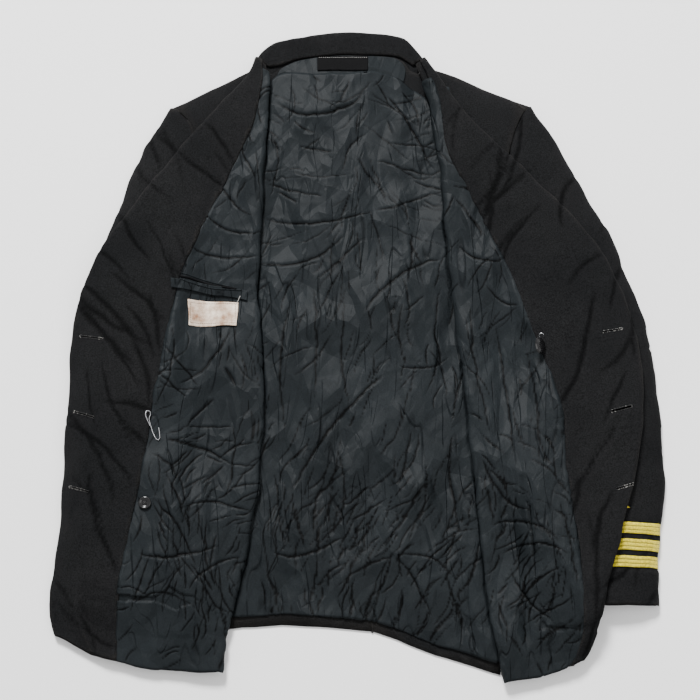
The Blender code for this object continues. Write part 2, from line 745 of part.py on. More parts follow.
def sleeve_columns(side, y):
    """Places across the under sleeve, with nodes at the step up over the body."""
    outer, inner, _, _, _ = sleeve_at(side, y)
    low, high = side.sign * inner, side.sign * outer
    narrow = min(1.0, (high - low) / 100)
    step = min(max(body_edge(side, min(y, ARMPIT_Y)), low + 12 * narrow), high - 28 * narrow)
    places = [high - UNDER_SLEEVE_INSET, step + (high - step + 12) / 2, step + 12 * narrow,
              step - 1.5 * narrow, low + UNDER_SLEEVE_INSET]
    return [side.sign * q for q in places]


def make_sleeve(side):
    """Top sleeve and under sleeve, the two halves of a sleeve lying flat."""
    rows = sleeve_rows(side)
    upper = sleeve_grid(side, rows)
    out = normals(upper, side.sign)
    inside = upper - out * WOOL
    inside[:, 0, 2] = upper[:, 0, 2]
    for k, y in enumerate(rows):
        is_open = sleeve_at(side, y)[4]
        inside[k, -1, 2] = upper[k, -1, 2] + (inside[k, -1, 2] - upper[k, -1, 2]) * is_open
    finish("sleeve_top_" + side.name, two_skins(upper, inside), NAVY)

    plan = np.array([[(x, y) for x in sleeve_columns(side, y)] for y in rows[:-2]])
    under = plate(plan, lambda x, y: sleeve_base(side, x, y), WOOL)
    finish("sleeve_under_" + side.name, under, NAVY)


def make_lace(side):
    """Three rings of lace round the cuff."""
    for number in range(3):
        start = LACE_FIRST_Y + LACE_PITCH * number
        rows = np.array((start, start + LACE_WIDTH))
        upper = sleeve_grid(side, rows)
        out = normals(upper, side.sign)
        out[:, 0] = (side.sign, 0, 0)
        out[:, -1] = (-side.sign, 0, 0)
        lower = np.array([[(x, y, sleeve_base(side, x, y)) for x in sleeve_columns(side, y)[::-1]]
                          for y in rows])
        down = np.zeros_like(lower)
        down[:, :, 2] = -1
        loop = np.concatenate((upper, lower), axis=1)
        away = np.concatenate((out, down), axis=1)
        skins = two_skins(loop + away * (SEAM + TRIM), loop + away * SEAM, ring=True)
        finish("lace_%s_%d" % (side.name, number + 1), skins, GOLD, 0.4, 0.8)


def height_on(grids, x, y):
    """Height of the highest of some grids over a plan point."""
    best = None
    for grid in grids:
        for i in range(grid.shape[0] - 1):
            for j in range(grid.shape[1] - 1):
                a, b = grid[i, j], grid[i, j + 1]
                c, d = grid[i + 1, j + 1], grid[i + 1, j]
                for p, q, r in ((a, b, c), (a, c, d)):
                    area = (q[0] - p[0]) * (r[1] - p[1]) - (r[0] - p[0]) * (q[1] - p[1])
                    if abs(area) < 1e-9:
                        continue
                    u = ((x - p[0]) * (r[1] - p[1]) - (r[0] - p[0]) * (y - p[1])) / area
                    v = ((q[0] - p[0]) * (y - p[1]) - (x - p[0]) * (q[1] - p[1])) / area
                    if u >= -1e-6 and v >= -1e-6 and u + v <= 1 + 1e-6:
                        z = p[2] + u * (q[2] - p[2]) + v * (r[2] - p[2])
                        best = z if best is None else max(best, z)
    if best is None:
        points = np.concatenate([grid.reshape(-1, 3) for grid in grids])
        best = points[np.argmin(np.hypot(points[:, 0] - x, points[:, 1] - y)), 2]
    return float(best)


def highest_near(grids, x, y, radius):
    """Highest point of the grids under a round thing."""
    found = [height_on(grids, x, y)]
    for share in (0.5, 1.0):
        for k in range(8):
            angle = math.pi * k / 4
            found.append(height_on(grids, x + share * radius * math.cos(angle),
                                   y + share * radius * math.sin(angle)))
    return max(found)


def make_star(side):
    """The line officer's star over the lace, one point down."""
    rows = sleeve_rows(side)
    grid = sleeve_grid(side, rows)
    outer, inner = (float(v) for v in sleeve_at(side, STAR_Y)[:2])
    centre_x = inner + (outer - inner) * 0.655
    rim = []
    for k in range(10):
        radius = STAR_RADIUS if k % 2 == 0 else STAR_RADIUS * 0.42
        angle = -math.pi / 2 + math.pi * k / 5
        x, y = centre_x + radius * math.cos(angle), STAR_Y + radius * math.sin(angle)
        rim.append((x, y, height_on([grid], x, y) + AIR))
    middle = (centre_x, STAR_Y, height_on([grid], centre_x, STAR_Y) + AIR)
    lower = rim + [middle]
    upper = [(x, y, z + TRIM) for x, y, z in rim] + [(centre_x, STAR_Y, middle[2] + 2 * TRIM)]
    faces = []
    for k in range(10):
        after = (k + 1) % 10
        faces += [(k, after, 10), (11 + k, 11 + after, 21)]
        faces += [(k, after, 11 + after), (k, 11 + after, 11 + k)]
    finish("star_" + side.name, (lower + upper, faces), GOLD, 0.4, 0.8)


def make_collar():
    """The collar: its fall under the back of the neck, its roll and its stand."""
    grid = []
    for row in spline(COLLAR_ROWS, 16):
        values = CollarRow(*row)
        seam = np.array((values.seam_x, values.seam_y))
        roll = np.array((values.roll_x, values.roll_y))
        fall = np.array((values.fall_x, values.fall_y))
        out = (roll - seam) / np.linalg.norm(roll - seam)
        turn = roll - out * (COLLAR_ROLL_RADIUS + COLLAR / 2)
        points = [(*(fall + (turn - fall) * t), COLLAR / 2) for t in (0, 0.35, 0.7)]
        for k in range(6):
            angle = math.pi * k / 5
            plan = turn + out * COLLAR_ROLL_RADIUS * math.sin(angle)
            points.append((*plan, COLLAR / 2 + COLLAR_ROLL_RADIUS * (1 - math.cos(angle))))
        top = COLLAR / 2 + 2 * COLLAR_ROLL_RADIUS
        for t in (0.3, 0.6, 1):
            plan = turn + (seam - turn) * t
            points.append((*plan, top + (COLLAR_ROLL_Z - top) * smooth(t) + 0.8 * t * (1 - t)))
        grid.append(points)
    grid = np.array(grid)
    out = normals(grid, -1)
    finish("collar", band(grid, out, -COLLAR / 2, COLLAR / 2), NAVY)


def cloth_on(name, plan, grids, colour, wall=TRIM, gap=0.6):
    """A flat piece that lies on other cloth."""
    lower = raised(plan, lambda x, y: height_on(grids, x, y) + gap)
    finish(name, two_skins(lower + np.array((0, 0, wall)), lower), colour)


def make_labels(right_tops):
    """The bare neck label, the pocket's welt and the bare label under it."""
    x0, x1, y0, y1 = NECK_LABEL
    plan = patch([(x0, y0), (x1, y0)], [(x0, y1), (x1, y1)], [(x0, y0), (x0, y1)],
                 [(x1, y0), (x1, y1)], 7, 3)
    top = BACK_LINING_Z + LINING + AIR
    finish("neck_label", plate(plan, lambda x, y: top + neck_rise(y), TRIM), BLACK)

    low_left, low_right, top_right, top_left = POCKET_LABEL
    plan = patch([low_left, low_right], [top_left, top_right], [low_left, top_left],
                 [low_right, top_right], 9, 5)
    cloth_on("pocket_label", plan, right_tops, TAN)

    half = WELT_HEIGHT / 2
    low = [(x, y - half) for x, y in WELT_LINE]
    high = [(x, y + half) for x, y in WELT_LINE]
    plan = patch(low, high, [low[0], high[0]], [low[-1], high[-1]], 13, 3)
    cloth_on("pocket_welt", plan, right_tops, SATIN, LINING, gap=1.1)


def button_profile(radius, thick, rim):
    """Half section of a button: foot, edge, rim and dish."""
    return [(radius * 0.7, 0.0), (radius * 0.95, thick * 0.3), (radius, thick * 0.6),
            (radius * 0.94, thick), (radius - rim, thick), (radius - rim * 1.5, thick * 0.72)]


def lathe(profile, steps):
    """Turn a half section about the vertical axis and close both ends."""
    vertices, faces = [], []
    for radius, z in profile:
        for k in range(steps):
            angle = 2 * math.pi * k / steps
            vertices.append((radius * math.cos(angle), radius * math.sin(angle), z))
    for row in range(len(profile) - 1):
        for k in range(steps):
            after = (k + 1) % steps
            a, b = row * steps + k, row * steps + after
            faces += [(a, b, b + steps), (a, b + steps, a + steps)]
    return vertices, faces


def ring_points(x, y, radius, steps):
    """Points of a small circle."""
    return [(x + radius * math.cos(2 * math.pi * k / steps),
             y + radius * math.sin(2 * math.pi * k / steps)) for k in range(steps)]


def holed_button(radius, thick):
    """A sew-through button with four holes."""
    steps, hole_steps = 16, 6
    profile = button_profile(radius, thick, 1.4)
    vertices, faces = lathe(profile, steps)
    holes = [ring_points(sx * 1.6, sy * 1.6, 0.8, hole_steps) for sx in (-1, 1) for sy in (-1, 1)]
    dish_z = profile[-1][1]
    starts = []
    for z in (0.0, dish_z):
        starts.append(len(vertices))
        vertices += [(x, y, z) for hole in holes for x, y in hole]
    for start, row, z in ((starts[0], 0, 0.0), (starts[1], len(profile) - 1, dish_z)):
        rim = [row * steps + k for k in range(steps)]
        index = rim + list(range(start, start + 4 * hole_steps))
        loops = [[Vector(vertices[i]) for i in rim]]
        loops += [[Vector((x, y, z)) for x, y in hole] for hole in holes]
        for a, b, c in tessellate_polygon(loops):
            faces.append((index[a], index[b], index[c]))
    for number in range(4):
        for k in range(hole_steps):
            after = (k + 1) % hole_steps
            a, b = starts[0] + number * hole_steps + k, starts[0] + number * hole_steps + after
            c, d = b + starts[1] - starts[0], a + starts[1] - starts[0]
            faces += [(a, b, c), (a, c, d)]
    return vertices, faces


def domed_button(radius, thick):
    """A button with a plain domed face."""
    steps = 20
    profile = [(radius * 0.55, 0.0), (radius * 0.9, thick * 0.25), (radius, thick * 0.5),
               (radius * 0.85, thick * 0.78), (radius * 0.5, thick * 0.95)]
    vertices, faces = lathe(profile, steps)
    low, top = len(vertices), len(vertices) + 1
    vertices += [(0, 0, 0), (0, 0, thick)]
    last = (len(profile) - 1) * steps
    for k in range(steps):
        after = (k + 1) % steps
        faces += [(k, after, low), (last + k, last + after, top)]
    return vertices, faces


def place_at(mesh_data, centre, tilt, lowest):
    """Tilt about Y, then set down with its lowest point at a height."""
    vertices, faces = mesh_data
    cos, sin = math.cos(tilt), math.sin(tilt)
    turned = [(x * cos + z * sin, y, z * cos - x * sin) for x, y, z in vertices]
    drop = min(z for _, _, z in turned)
    return [(x + centre[0], y + centre[1], z - drop + lowest) for x, y, z in turned], faces


def make_buttons(right_tops, left_tops):
    """The sew-through button and the tilted domed one."""
    flat = highest_near(right_tops, *BUTTON_AT, 7.3) + SEAM
    finish("button_flat", place_at(holed_button(7.3, 3.0), BUTTON_AT, 0.0, flat), BLACK, 0.3)
    rest = highest_near(left_tops, *TILTED_BUTTON_AT, 9) + SEAM
    finish("button_tilted", place_at(domed_button(10.5, 4.5), TILTED_BUTTON_AT,
                                     math.radians(48), rest), BLACK, 0.15)


def make_pin(right_tops):
    """The open safety pin: one wire with a coil and two legs."""
    steps = 6
    path = resample(PIN_PATH, 26)
    heights = [height_on(right_tops, x, y) + SEAM + PIN_WIRE * 1.6 for x, y in path]
    for k in range(len(path)):
        near = path[max(k - 2, 0):k + 3]
        heights[k] = max(heights[k], max(height_on(right_tops, x, y) for x, y in near) + PIN_WIRE + SEAM)
        heights[k] += 1.8 * smooth((9 - k) / 4)
    line = np.array([(x, y, z) for (x, y), z in zip(path, heights)])
    ahead = np.gradient(line, axis=0)
    ahead /= np.linalg.norm(ahead, axis=1, keepdims=True)
    vertices, faces = [], []
    for point, forward in zip(line, ahead):
        aside = np.cross(forward, (0, 0, 1))
        aside /= np.linalg.norm(aside)
        upward = np.cross(aside, forward)
        for k in range(steps):
            angle = 2 * math.pi * k / steps
            vertices.append(tuple(point + PIN_WIRE * (aside * math.cos(angle)
                                                      + upward * math.sin(angle))))
    for row in range(len(line) - 1):
        for k in range(steps):
            after = (k + 1) % steps
            a, b = row * steps + k, row * steps + after
            faces += [(a, b, b + steps), (a, b + steps, a + steps)]
    last = (len(line) - 1) * steps
    for k in range(1, steps - 1):
        faces += [(0, k, k + 1), (last, last + k, last + k + 1)]
    finish("safety_pin", (vertices, faces), STEEL, 0.3, 1.0)


def stand_on_origin():
    """Move everything so that the middle of the underside is the origin."""
    meshes = [item.data for item in bpy.data.objects]
    corners = np.array([tuple(vertex.co) for mesh in meshes for vertex in mesh.vertices])
    low, high = corners.min(axis=0), corners.max(axis=0)
    shift = Matrix.Translation((-(low[0] + high[0]) / 2, -(low[1] + high[1]) / 2, -low[2]))
    for mesh in meshes:
        mesh.transform(shift)


def main():
    """Build every piece of the jacket."""
    clear_scene()
    tops = {}
    for side in (RIGHT, LEFT):
        tops[side.name] = make_front(side)
        make_side(side)
        make_sleeve(side)
        make_lace(side)
        make_star(side)
    make_back(RIGHT, RIGHT_HEM, RIGHT_SHOULDER, RIGHT_BACK_SIDE, False)
    make_back(LEFT, LEFT_HEM, LEFT_SHOULDER, LEFT_BACK_SIDE, True)
    make_back_linings()
    make_collar()
    make_labels(tops["right"])
    make_buttons(tops["right"], tops["left"])
    make_pin(tops["right"])
    stand_on_origin()


main()
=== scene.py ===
"""Naval service dress jacket laid open on its back: wool, crumpled lining, lace and light.

Lengths in the tables are millimetres in the frame's own axes; meshes are in metres.
"""
import math
import random
from collections import namedtuple

import bmesh
import bpy
import numpy as np
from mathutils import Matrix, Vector
from mathutils.bvhtree import BVHTree


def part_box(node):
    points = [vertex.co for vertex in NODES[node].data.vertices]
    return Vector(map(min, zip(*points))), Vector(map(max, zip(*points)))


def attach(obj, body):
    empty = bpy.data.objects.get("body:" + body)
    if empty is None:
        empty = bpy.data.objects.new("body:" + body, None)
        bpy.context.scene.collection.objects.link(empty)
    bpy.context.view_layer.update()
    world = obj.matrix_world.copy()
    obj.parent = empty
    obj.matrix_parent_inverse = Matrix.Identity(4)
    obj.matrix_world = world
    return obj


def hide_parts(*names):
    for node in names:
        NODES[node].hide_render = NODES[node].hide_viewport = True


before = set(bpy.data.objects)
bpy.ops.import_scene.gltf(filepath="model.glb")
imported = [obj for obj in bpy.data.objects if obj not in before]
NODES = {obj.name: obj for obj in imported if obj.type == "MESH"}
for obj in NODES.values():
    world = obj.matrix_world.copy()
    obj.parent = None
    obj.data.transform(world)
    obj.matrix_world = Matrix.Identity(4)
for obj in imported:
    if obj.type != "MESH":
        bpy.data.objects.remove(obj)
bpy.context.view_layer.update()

MM = 0.001

Crease = namedtuple("Crease", "x0 y0 x1 y1 x2 y2 width height")
Crumple = namedtuple("Crumple", "angle long short height seed")
Wave = namedtuple("Wave", "height long_x long_y seed")
FineCrease = namedtuple("FineCrease", "turn scale width seed")
SmallFacet = namedtuple("SmallFacet", "turn scale slope seed")
Hole = namedtuple("Hole", "x0 y0 x1 y1 half worn")
Sheet = namedtuple("Sheet", "piece width length area held rests")

CELL_LINING = 1.5
CELL_WOOL = 3.2
CELL_SMALL = 1.0
CELL_PANEL = 14
DIVIDE_ROUNDS = 7

# Nodes whose faces meet at more than this angle, in degrees, keep a sharp edge when rounded.
SHARP_EDGE = 48
ROUNDING = 1

# Straight parts of a crease's bent line, how far cloth may sink under its node's face, and how
# far a front stays under its facing.
CREASE_PARTS = 8
DEEPEST = -0.6
FRONT_SINK = -0.7

# Air over the cloth, in metres: how far up it is looked for, where the ray starts, what stays
# free under the next layer, and the same over the cloth's own folded parts.
LOOK_UP = 0.014
RAY_START = 2e-4
KEPT_FREE = 4e-4
OWN_START = 2.5e-3
OWN_LOOK_UP = 0.03
FULL_ROOM = 0.003
ROOM_USED = 0.8

# How a crease's line wanders, how panels swell, and how all cloth is shifted sideways. The
# folded edges, about FOLD_X from the middle, are shifted more.
WANDER = [Wave(1.6, 24, 24, 71), Wave(0.7, 8, 8, 73)]
SWELL = [Wave(1.0, 46, 60, 91), Wave(0.5, 21, 30, 93)]
SWAY_X = [Wave(1.7, 70, 52, 101), Wave(0.7, 30, 20, 102)]
SWAY_Y = [Wave(1.5, 52, 70, 103), Wave(0.6, 20, 30, 104)]
SWAY_FOLD = [Wave(2.6, 200, 36, 105)]
FOLD_X = 95
FOLD_SPREAD = 30

# Cloth lies flat this far round the small things on it.
CALM_SPREAD = 26.0

THREAD_SIDES = 6
BUTTON_SIDES = 48


def smooth(value):
    """Ease from 0 to 1, for arrays too."""
    value = np.clip(value, 0.0, 1.0)
    return value * value * (3 - 2 * value)


def lattice(ix, iy, seed):
    """A repeatable direction for each corner of the noise's grid."""
    mixed = np.sin(ix * 127.1 + iy * 311.7 + seed * 74.7) * 43758.5453
    return (mixed - np.floor(mixed)) * 2 * np.pi


def noise(x, y, seed):
    """Smooth noise from about -1 to 1."""
    ix, iy = np.floor(x), np.floor(y)
    fx, fy = x - ix, y - iy
    u = fx ** 3 * (fx * (fx * 6 - 15) + 10)
    v = fy ** 3 * (fy * (fy * 6 - 15) + 10)

    def corner(dx, dy):
        angle = lattice(ix + dx, iy + dy, seed)
        return np.cos(angle) * (fx - dx) + np.sin(angle) * (fy - dy)

    low = corner(0, 0) * (1 - u) + corner(1, 0) * u
    high = corner(0, 1) * (1 - u) + corner(1, 1) * u
    return (low * (1 - v) + high * v) * 1.6


def waves(x, y, rows):
    """The sum of some rows of smooth noise."""
    return sum(row.height * noise(x / row.long_x, y / row.long_y, row.seed) for row in rows)


def facets(x, y, layer):
    """Flat triangles with sharp edges between them, stretched along one direction."""
    angle = math.radians(layer.angle)
    wander = 0.45 * layer.short
    bent_x = x + wander * noise(x / layer.long, y / layer.long, layer.seed + 11)
    bent_y = y + wander * noise(x / layer.long, y / layer.long, layer.seed + 17)
    along = (bent_x * math.cos(angle) + bent_y * math.sin(angle)) / layer.long
    across = (bent_y * math.cos(angle) - bent_x * math.sin(angle)) / layer.short
    cell_u, cell_v = np.floor(along), np.floor(across)
    turned = (cell_u + cell_v) % 2 > 0.5
    u = np.where(turned, 1 - along + cell_u, along - cell_u)
    v = across - cell_v

    def corner(du, dv):
        return np.sin(lattice(cell_u + np.where(turned, 1 - du, du), cell_v + dv, layer.seed))

    near, far = corner(0, 0), corner(1, 1)
    first, second = corner(1, 0), corner(0, 1)
    low = near + u * (first - near) + v * (second - near)
    high = far + (1 - u) * (second - far) + (1 - v) * (first - far)
    return layer.height * np.where(u + v < 1, low, high)


def creased(x, y, rows):
    """Folds along bent lines, each a narrow valley that tapers to both ends with one soft shoulder, and
    the strength of painted shade along each valley.
    """
    total = np.zeros_like(x)
    line = np.zeros_like(x)
    wander = waves(x, y, WANDER)
    for row in rows:
        shoulder = 3.5 * row.width
        reach = 3.0 * shoulder + 3
        across, along = (row.x0, row.x1, row.x2), (row.y0, row.y1, row.y2)
        near = ((x > min(across) - reach) & (x < max(across) + reach)
                & (y > min(along) - reach) & (y < max(along) + reach))
        if not near.any():
            continue
        px, py = x[near], y[near]
        best = np.full(px.shape, 1e9)
        place = np.zeros(px.shape)
        side = np.ones(px.shape)
        for k in range(CREASE_PARTS):
            t0, t1 = k / CREASE_PARTS, (k + 1) / CREASE_PARTS
            ax, ay = bend_point(row, t0)
            bx, by = bend_point(row, t1)
            dx, dy = bx - ax, by - ay
            share = np.clip(((px - ax) * dx + (py - ay) * dy) / (dx * dx + dy * dy), 0, 1)
            away = np.hypot(px - ax - share * dx, py - ay - share * dy)
            closer = away < best
            best = np.where(closer, away, best)
            place = np.where(closer, t0 + share / CREASE_PARTS, place)
            side = np.where(closer, np.sign(dx * (py - ay) - dy * (px - ax)), side)
        signed = best * side + wander[near]
        lens = np.sqrt(np.clip(4 * place * (1 - place), 0, 1))
        wide = row.width * (0.45 + 0.55 * lens)
        valley = np.exp(-(signed / wide) ** 2)
        crest = np.exp(-((signed - 1.6 * wide) / shoulder) ** 2) * (signed > -3 * wide)
        total[near] += row.height * lens * (0.2 * crest - 0.85 * valley)
        # Painted shade along the crease's valley, which later darkens the colour through the fold mark.
        crease_shade = lens * np.exp(-(signed / (0.75 * wide)) ** 2) * min(0.5 + 0.6 * row.height, 1.3)
        line[near] = np.maximum(line[near], crease_shade)
    return total, line


def bend_point(row, t):
    """A point of the curve that passes through the middle point of a crease."""
    mx = 2 * row.x1 - 0.5 * (row.x0 + row.x2)
    my = 2 * row.y1 - 0.5 * (row.y0 + row.y2)
    x = (1 - t) ** 2 * row.x0 + 2 * t * (1 - t) * mx + t * t * row.x2
    y = (1 - t) ** 2 * row.y0 + 2 * t * (1 - t) * my + t * t * row.y2
    return x, y


# Creases listed one by one: where each starts, bends and ends, its width and its height.
BACK_CREASES = [
    # the big drape under the neck and what radiates from it
    Crease(-108, 306, -50, 287, 8, 322, 2.0, 2.9),
    Crease(34, 312, 60, 276, 92, 216, 1.8, 2.5),
    Crease(-76, 246, -56, 242, -34, 238, 1.4, 1.7),
    Crease(-6, 234, 12, 204, 34, 176, 1.4, 2.1),
    Crease(20, 226, 52, 216, 94, 208, 1.4, 1.7),
    Crease(-118, 150, -62, 144, 18, 160, 1.8, 2.1),
    Crease(18, 160, 60, 172, 90, 184, 1.6, 1.7),
    Crease(-96, 186, -64, 184, -48, 178, 1.2, 1.3),
    Crease(-122, 92, -66, 94, -20, 128, 1.8, 2.1),
    Crease(4, 28, 44, 74, 98, 96, 2.0, 2.5),
    Crease(-54, 70, -26, 96, 6, 128, 1.4, 1.7),
    Crease(-112, 262, -104, 226, -112, 180, 1.4, 1.7),
    Crease(-60, 330, -54, 312, -52, 300, 1.2, 1.3),
    Crease(-14, 338, -20, 318, -34, 300, 1.2, 1.3),
    Crease(20, 336, 30, 316, 34, 296, 1.2, 1.7),
    Crease(52, 322, 66, 300, 74, 270, 1.2, 1.7),
    Crease(-92, 330, -84, 300, -96, 280, 1.2, 1.3),
    # middle of the back
    Crease(28, -48, -28, -104, -84, -188, 2.0, 2.5),
    Crease(-88, 40, -96, -30, -92, -120, 1.6, 2.1),
    Crease(-58, 60, -54, -10, -56, -80, 1.6, 2.1),
    Crease(-20, 40, -24, -20, -14, -90, 1.6, 1.7),
    Crease(60, -112, 52, -146, 42, -182, 1.4, 2.1),
    Crease(44, -38, 74, -40, 104, -26, 1.4, 1.7),
    Crease(96, 60, 90, 10, 100, -50, 1.4, 1.7),
    Crease(52, 40, 46, 0, 54, -40, 1.4, 1.3),
    Crease(8, -182, -6, -194, -26, -204, 1.2, 1.7),
    Crease(80, -166, 52, -214, 24, -256, 1.6, 2.1),
    Crease(110, -120, 104, -180, 112, -236, 1.6, 2.1),
    # towards the hem
    Crease(-102, -166, -96, -214, -88, -244, 1.6, 2.1),
    Crease(-104, -256, -64, -260, -16, -236, 1.8, 2.5),
    Crease(36, -262, 24, -292, 14, -322, 1.2, 2.1),
    Crease(38, -262, 62, -290, 78, -330, 1.4, 2.1),
    Crease(38, -262, 6, -272, -30, -300, 1.4, 1.7),
    Crease(38, -262, 76, -262, 110, -290, 1.4, 1.7),
    Crease(-60, -196, -50, -250, -58, -312, 1.4, 1.7),
    Crease(-28, -140, -20, -190, -32, -236, 1.4, 1.7),
    Crease(96, -262, 104, -310, 116, -346, 1.4, 2.1),
    Crease(-116, -286, -110, -306, -112, -322, 1.2, 1.3),
]
FRONT_CREASES = {
    "right": [
        Crease(-151, 16, -177, -32, -215, -64, 1.6, 2.0),
        Crease(-160, -39, -153, -50, -148, -63, 2.2, 3.0),
        Crease(-238, -12, -212, -40, -190, -64, 1.4, 1.4),
        Crease(-246, -44, -224, -62, -204, -80, 1.4, 1.6),
        Crease(-228, -130, -199, -136, -150, -156, 2.0, 2.6),
        Crease(-242, -146, -222, -158, -208, -178, 1.4, 1.6),
        Crease(-206, -116, -190, -98, -172, -78, 1.5, 1.8),
        Crease(-184, -182, -172, -170, -160, -158, 1.4, 1.6),
        Crease(-222, 6, -226, -50, -240, -90, 1.4, 1.2),
        Crease(-206, -212, -170, -202, -120, -214, 1.6, 2.0),
        Crease(-240, -196, -208, -232, -186, -278, 1.6, 2.0),
        Crease(-250, -262, -214, -266, -160, -250, 1.8, 2.2),
        Crease(-196, -300, -170, -276, -136, -262, 1.6, 2.0),
        Crease(-256, -316, -224, -304, -190, -318, 1.6, 1.8),
        Crease(-150, -110, -148, -150, -158, -196, 1.5, 1.6),
        Crease(-176, 196, -160, 170, -132, 150, 1.5, 1.6),
        Crease(-190, 150, -164, 132, -126, 128, 1.6, 2.0),
        Crease(-150, 250, -140, 220, -128, 200, 1.4, 1.4),
        Crease(-206, 108, -170, 96, -124, 100, 1.6, 1.8),
    ],
    "left": [
        Crease(112, 190, 142, 176, 170, 160, 1.6, 1.8),
        Crease(116, 172, 134, 150, 150, 122, 1.4, 1.4),
        Crease(118, 110, 146, 92, 176, 96, 1.6, 1.8),
        Crease(150, 60, 168, 40, 192, 34, 1.5, 1.6),
        Crease(130, 36, 136, -40, 150, -120, 1.6, 1.8),
        Crease(160, 10, 172, -70, 176, -150, 1.6, 1.8),
        Crease(196, -20, 206, -90, 204, -160, 1.5, 1.6),
        Crease(140, -150, 160, -190, 196, -214, 1.8, 2.2),
        Crease(150, -228, 186, -226, 224, -246, 1.8, 2.4),
        Crease(160, -262, 196, -250, 236, -262, 1.6, 2.0),
        Crease(172, -330, 192, -296, 226, -276, 1.7, 2.2),
        Crease(168, -276, 186, -310, 214, -336, 1.6, 2.0),
        Crease(226, -200, 236, -250, 246, -300, 1.5, 1.6),
        Crease(128, -100, 122, -170, 136, -236, 1.6, 1.8),
    ],
}
BACK_CRUMPLE = [
    Crumple(70, 120, 46, 1.9, 3),
    Crumple(112, 62, 24, 1.0, 5),
    Crumple(58, 30, 12, 0.35, 8),
]
FRONT_CRUMPLE = [
    Crumple(88, 100, 40, 1.5, 31),
    Crumple(66, 52, 20, 0.85, 37),
    Crumple(112, 26, 11, 0.33, 43),
]
WOOL_CRUMPLE = [
    Crumple(60, 120, 60, 0.35, 61),
]


def scattered(box, flow, count, seed, length, depth):
    """Creases at repeatable chance places in a box, each along the flow there."""
    draw = random.Random(seed)
    rows = []
    for _ in range(count):
        x, y = draw.uniform(box[0], box[2]), draw.uniform(box[1], box[3])
        angle = math.radians(flow(x, y) + draw.gauss(0, 15))
        half = draw.uniform(*length) / 2
        dx, dy = half * math.cos(angle), half * math.sin(angle)
        bend = draw.uniform(-0.3, 0.3)
        rows.append(Crease(x - dx, y - dy, x - bend * dy, y + bend * dx, x + dx, y + dy,
                           draw.uniform(0.8, 1.5), draw.uniform(*depth)))
    return rows


def back_flow(x, y):
    """Direction of the back lining's creases: fanned under the neck, steep towards the hem."""
    fan = math.degrees(math.atan2(y - 330, x - 6))
    return fan + 60 * math.sin(x / 70) if y > 120 else 68 + 16 * math.sin(x / 55 + y / 90)


def front_flow(x, y):
    """Direction of the front linings' creases, crossing from place to place."""
    return (62 if x < 0 else 96) + 48 * math.sin(x / 37 + y / 46)


def wool_flow(x, y):
    """Direction of the soft diagonal folds in the wool."""
    return -56 if x < 0 else 66


def fields(layers=(), rows=(), *, base, swell):
    """A lift function: base height, soft swell, flat facets and creases."""
    def lift(x, y):
        folded, line = creased(x, y, rows)
        total = base + folded + swell * waves(x, y, SWELL)
        for layer in layers:
            total += facets(x, y, layer)
        return np.maximum(total, DEEPEST), line
    return lift


def sunk(x, y):
    """A lift function for a front, which stays under its facing."""
    return np.full_like(x, FRONT_SINK), np.zeros_like(x)


def tree_of(items):
    """A tree of some objects' meshes, to find what lies over or under a point."""
    points, faces = [], []
    for item in items:
        start = len(points)
        points += [tuple(v.co) for v in item.data.vertices]
        faces += [tuple(i + start for i in p.vertices) for p in item.data.polygons]
    return BVHTree.FromPolygons(points, faces)


def values_of(mesh, name):
    """The co or normal of every point of a mesh, in rows of three."""
    values = np.empty(len(mesh.vertices) * 3)
    mesh.vertices.foreach_get(name, values)
    return values.reshape(-1, 3)


def placed(name, data):
    """A new object in the scene."""
    item = bpy.data.objects.new(name, data)
    bpy.context.scene.collection.objects.link(item)
    return item


def riding(name, mesh):
    """A new object for a mesh, in the part's one body."""
    piece = placed(name, mesh)
    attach(piece, "root")
    return piece


def smooth_mesh(name):
    """The node's mesh, welded, in quads and rounded between its nodes."""
    work = bmesh.new()
    work.from_mesh(NODES[name].data)
    bmesh.ops.remove_doubles(work, verts=work.verts, dist=2e-6)
    bmesh.ops.join_triangles(work, faces=work.faces, angle_face_threshold=0.6,
                             angle_shape_threshold=1.0)
    keep = work.edges.layers.float.new("crease_edge")
    for edge in work.edges:
        if len(edge.link_faces) == 2 and edge.calc_face_angle(0) > math.radians(SHARP_EDGE):
            edge[keep] = 1.0
    mesh = bpy.data.meshes.new(name + "_base")
    work.to_mesh(mesh)
    work.free()
    carrier = placed(name + "_base", mesh)
    modifier = carrier.modifiers.new("round", "SUBSURF")
    modifier.levels = modifier.render_levels = ROUNDING
    graph = bpy.context.evaluated_depsgraph_get()
    rounded = bpy.data.meshes.new_from_object(carrier.evaluated_get(graph))
    bpy.data.objects.remove(carrier)
    return rounded


def divide(mesh, cell):
    """Divide every face that looks up until its edges are about a cell long."""
    work = bmesh.new()
    work.from_mesh(mesh)
    limit = cell * MM * 1.5
    for _ in range(DIVIDE_ROUNDS):
        work.normal_update()
        long_edges = [e for e in work.edges if e.calc_length() > limit
                      and any(f.normal.z > 0.15 for f in e.link_faces)]
        if not long_edges:
            break
        bmesh.ops.subdivide_edges(work, edges=long_edges, cuts=1, use_grid_fill=True)
    many_sided = [f for f in work.faces if len(f.verts) > 4]
    bmesh.ops.triangulate(work, faces=many_sided)
    work.normal_update()
    work.to_mesh(mesh)
    work.free()


def headroom(points, others, own):
    """How much free air each point has over it, in metres, a little to each side too."""
    room = np.full(len(points), LOOK_UP)
    up = Vector((0, 0, 1))
    for k, (x, y, z) in enumerate(points):
        for dx, dy in ((0, 0), (3, 0), (-3, 0), (0, 3), (0, -3)):
            place = Vector((x + dx * MM, y + dy * MM, z))
            hit = others.ray_cast(place + up * RAY_START, up, LOOK_UP)
            if hit[0] is not None:
                room[k] = min(room[k], max(hit[3] - KEPT_FREE, 0))
        if own.ray_cast(Vector((x, y, z)) + up * OWN_START, up, OWN_LOOK_UP)[0] is not None:
            room[k] = 0
    return room


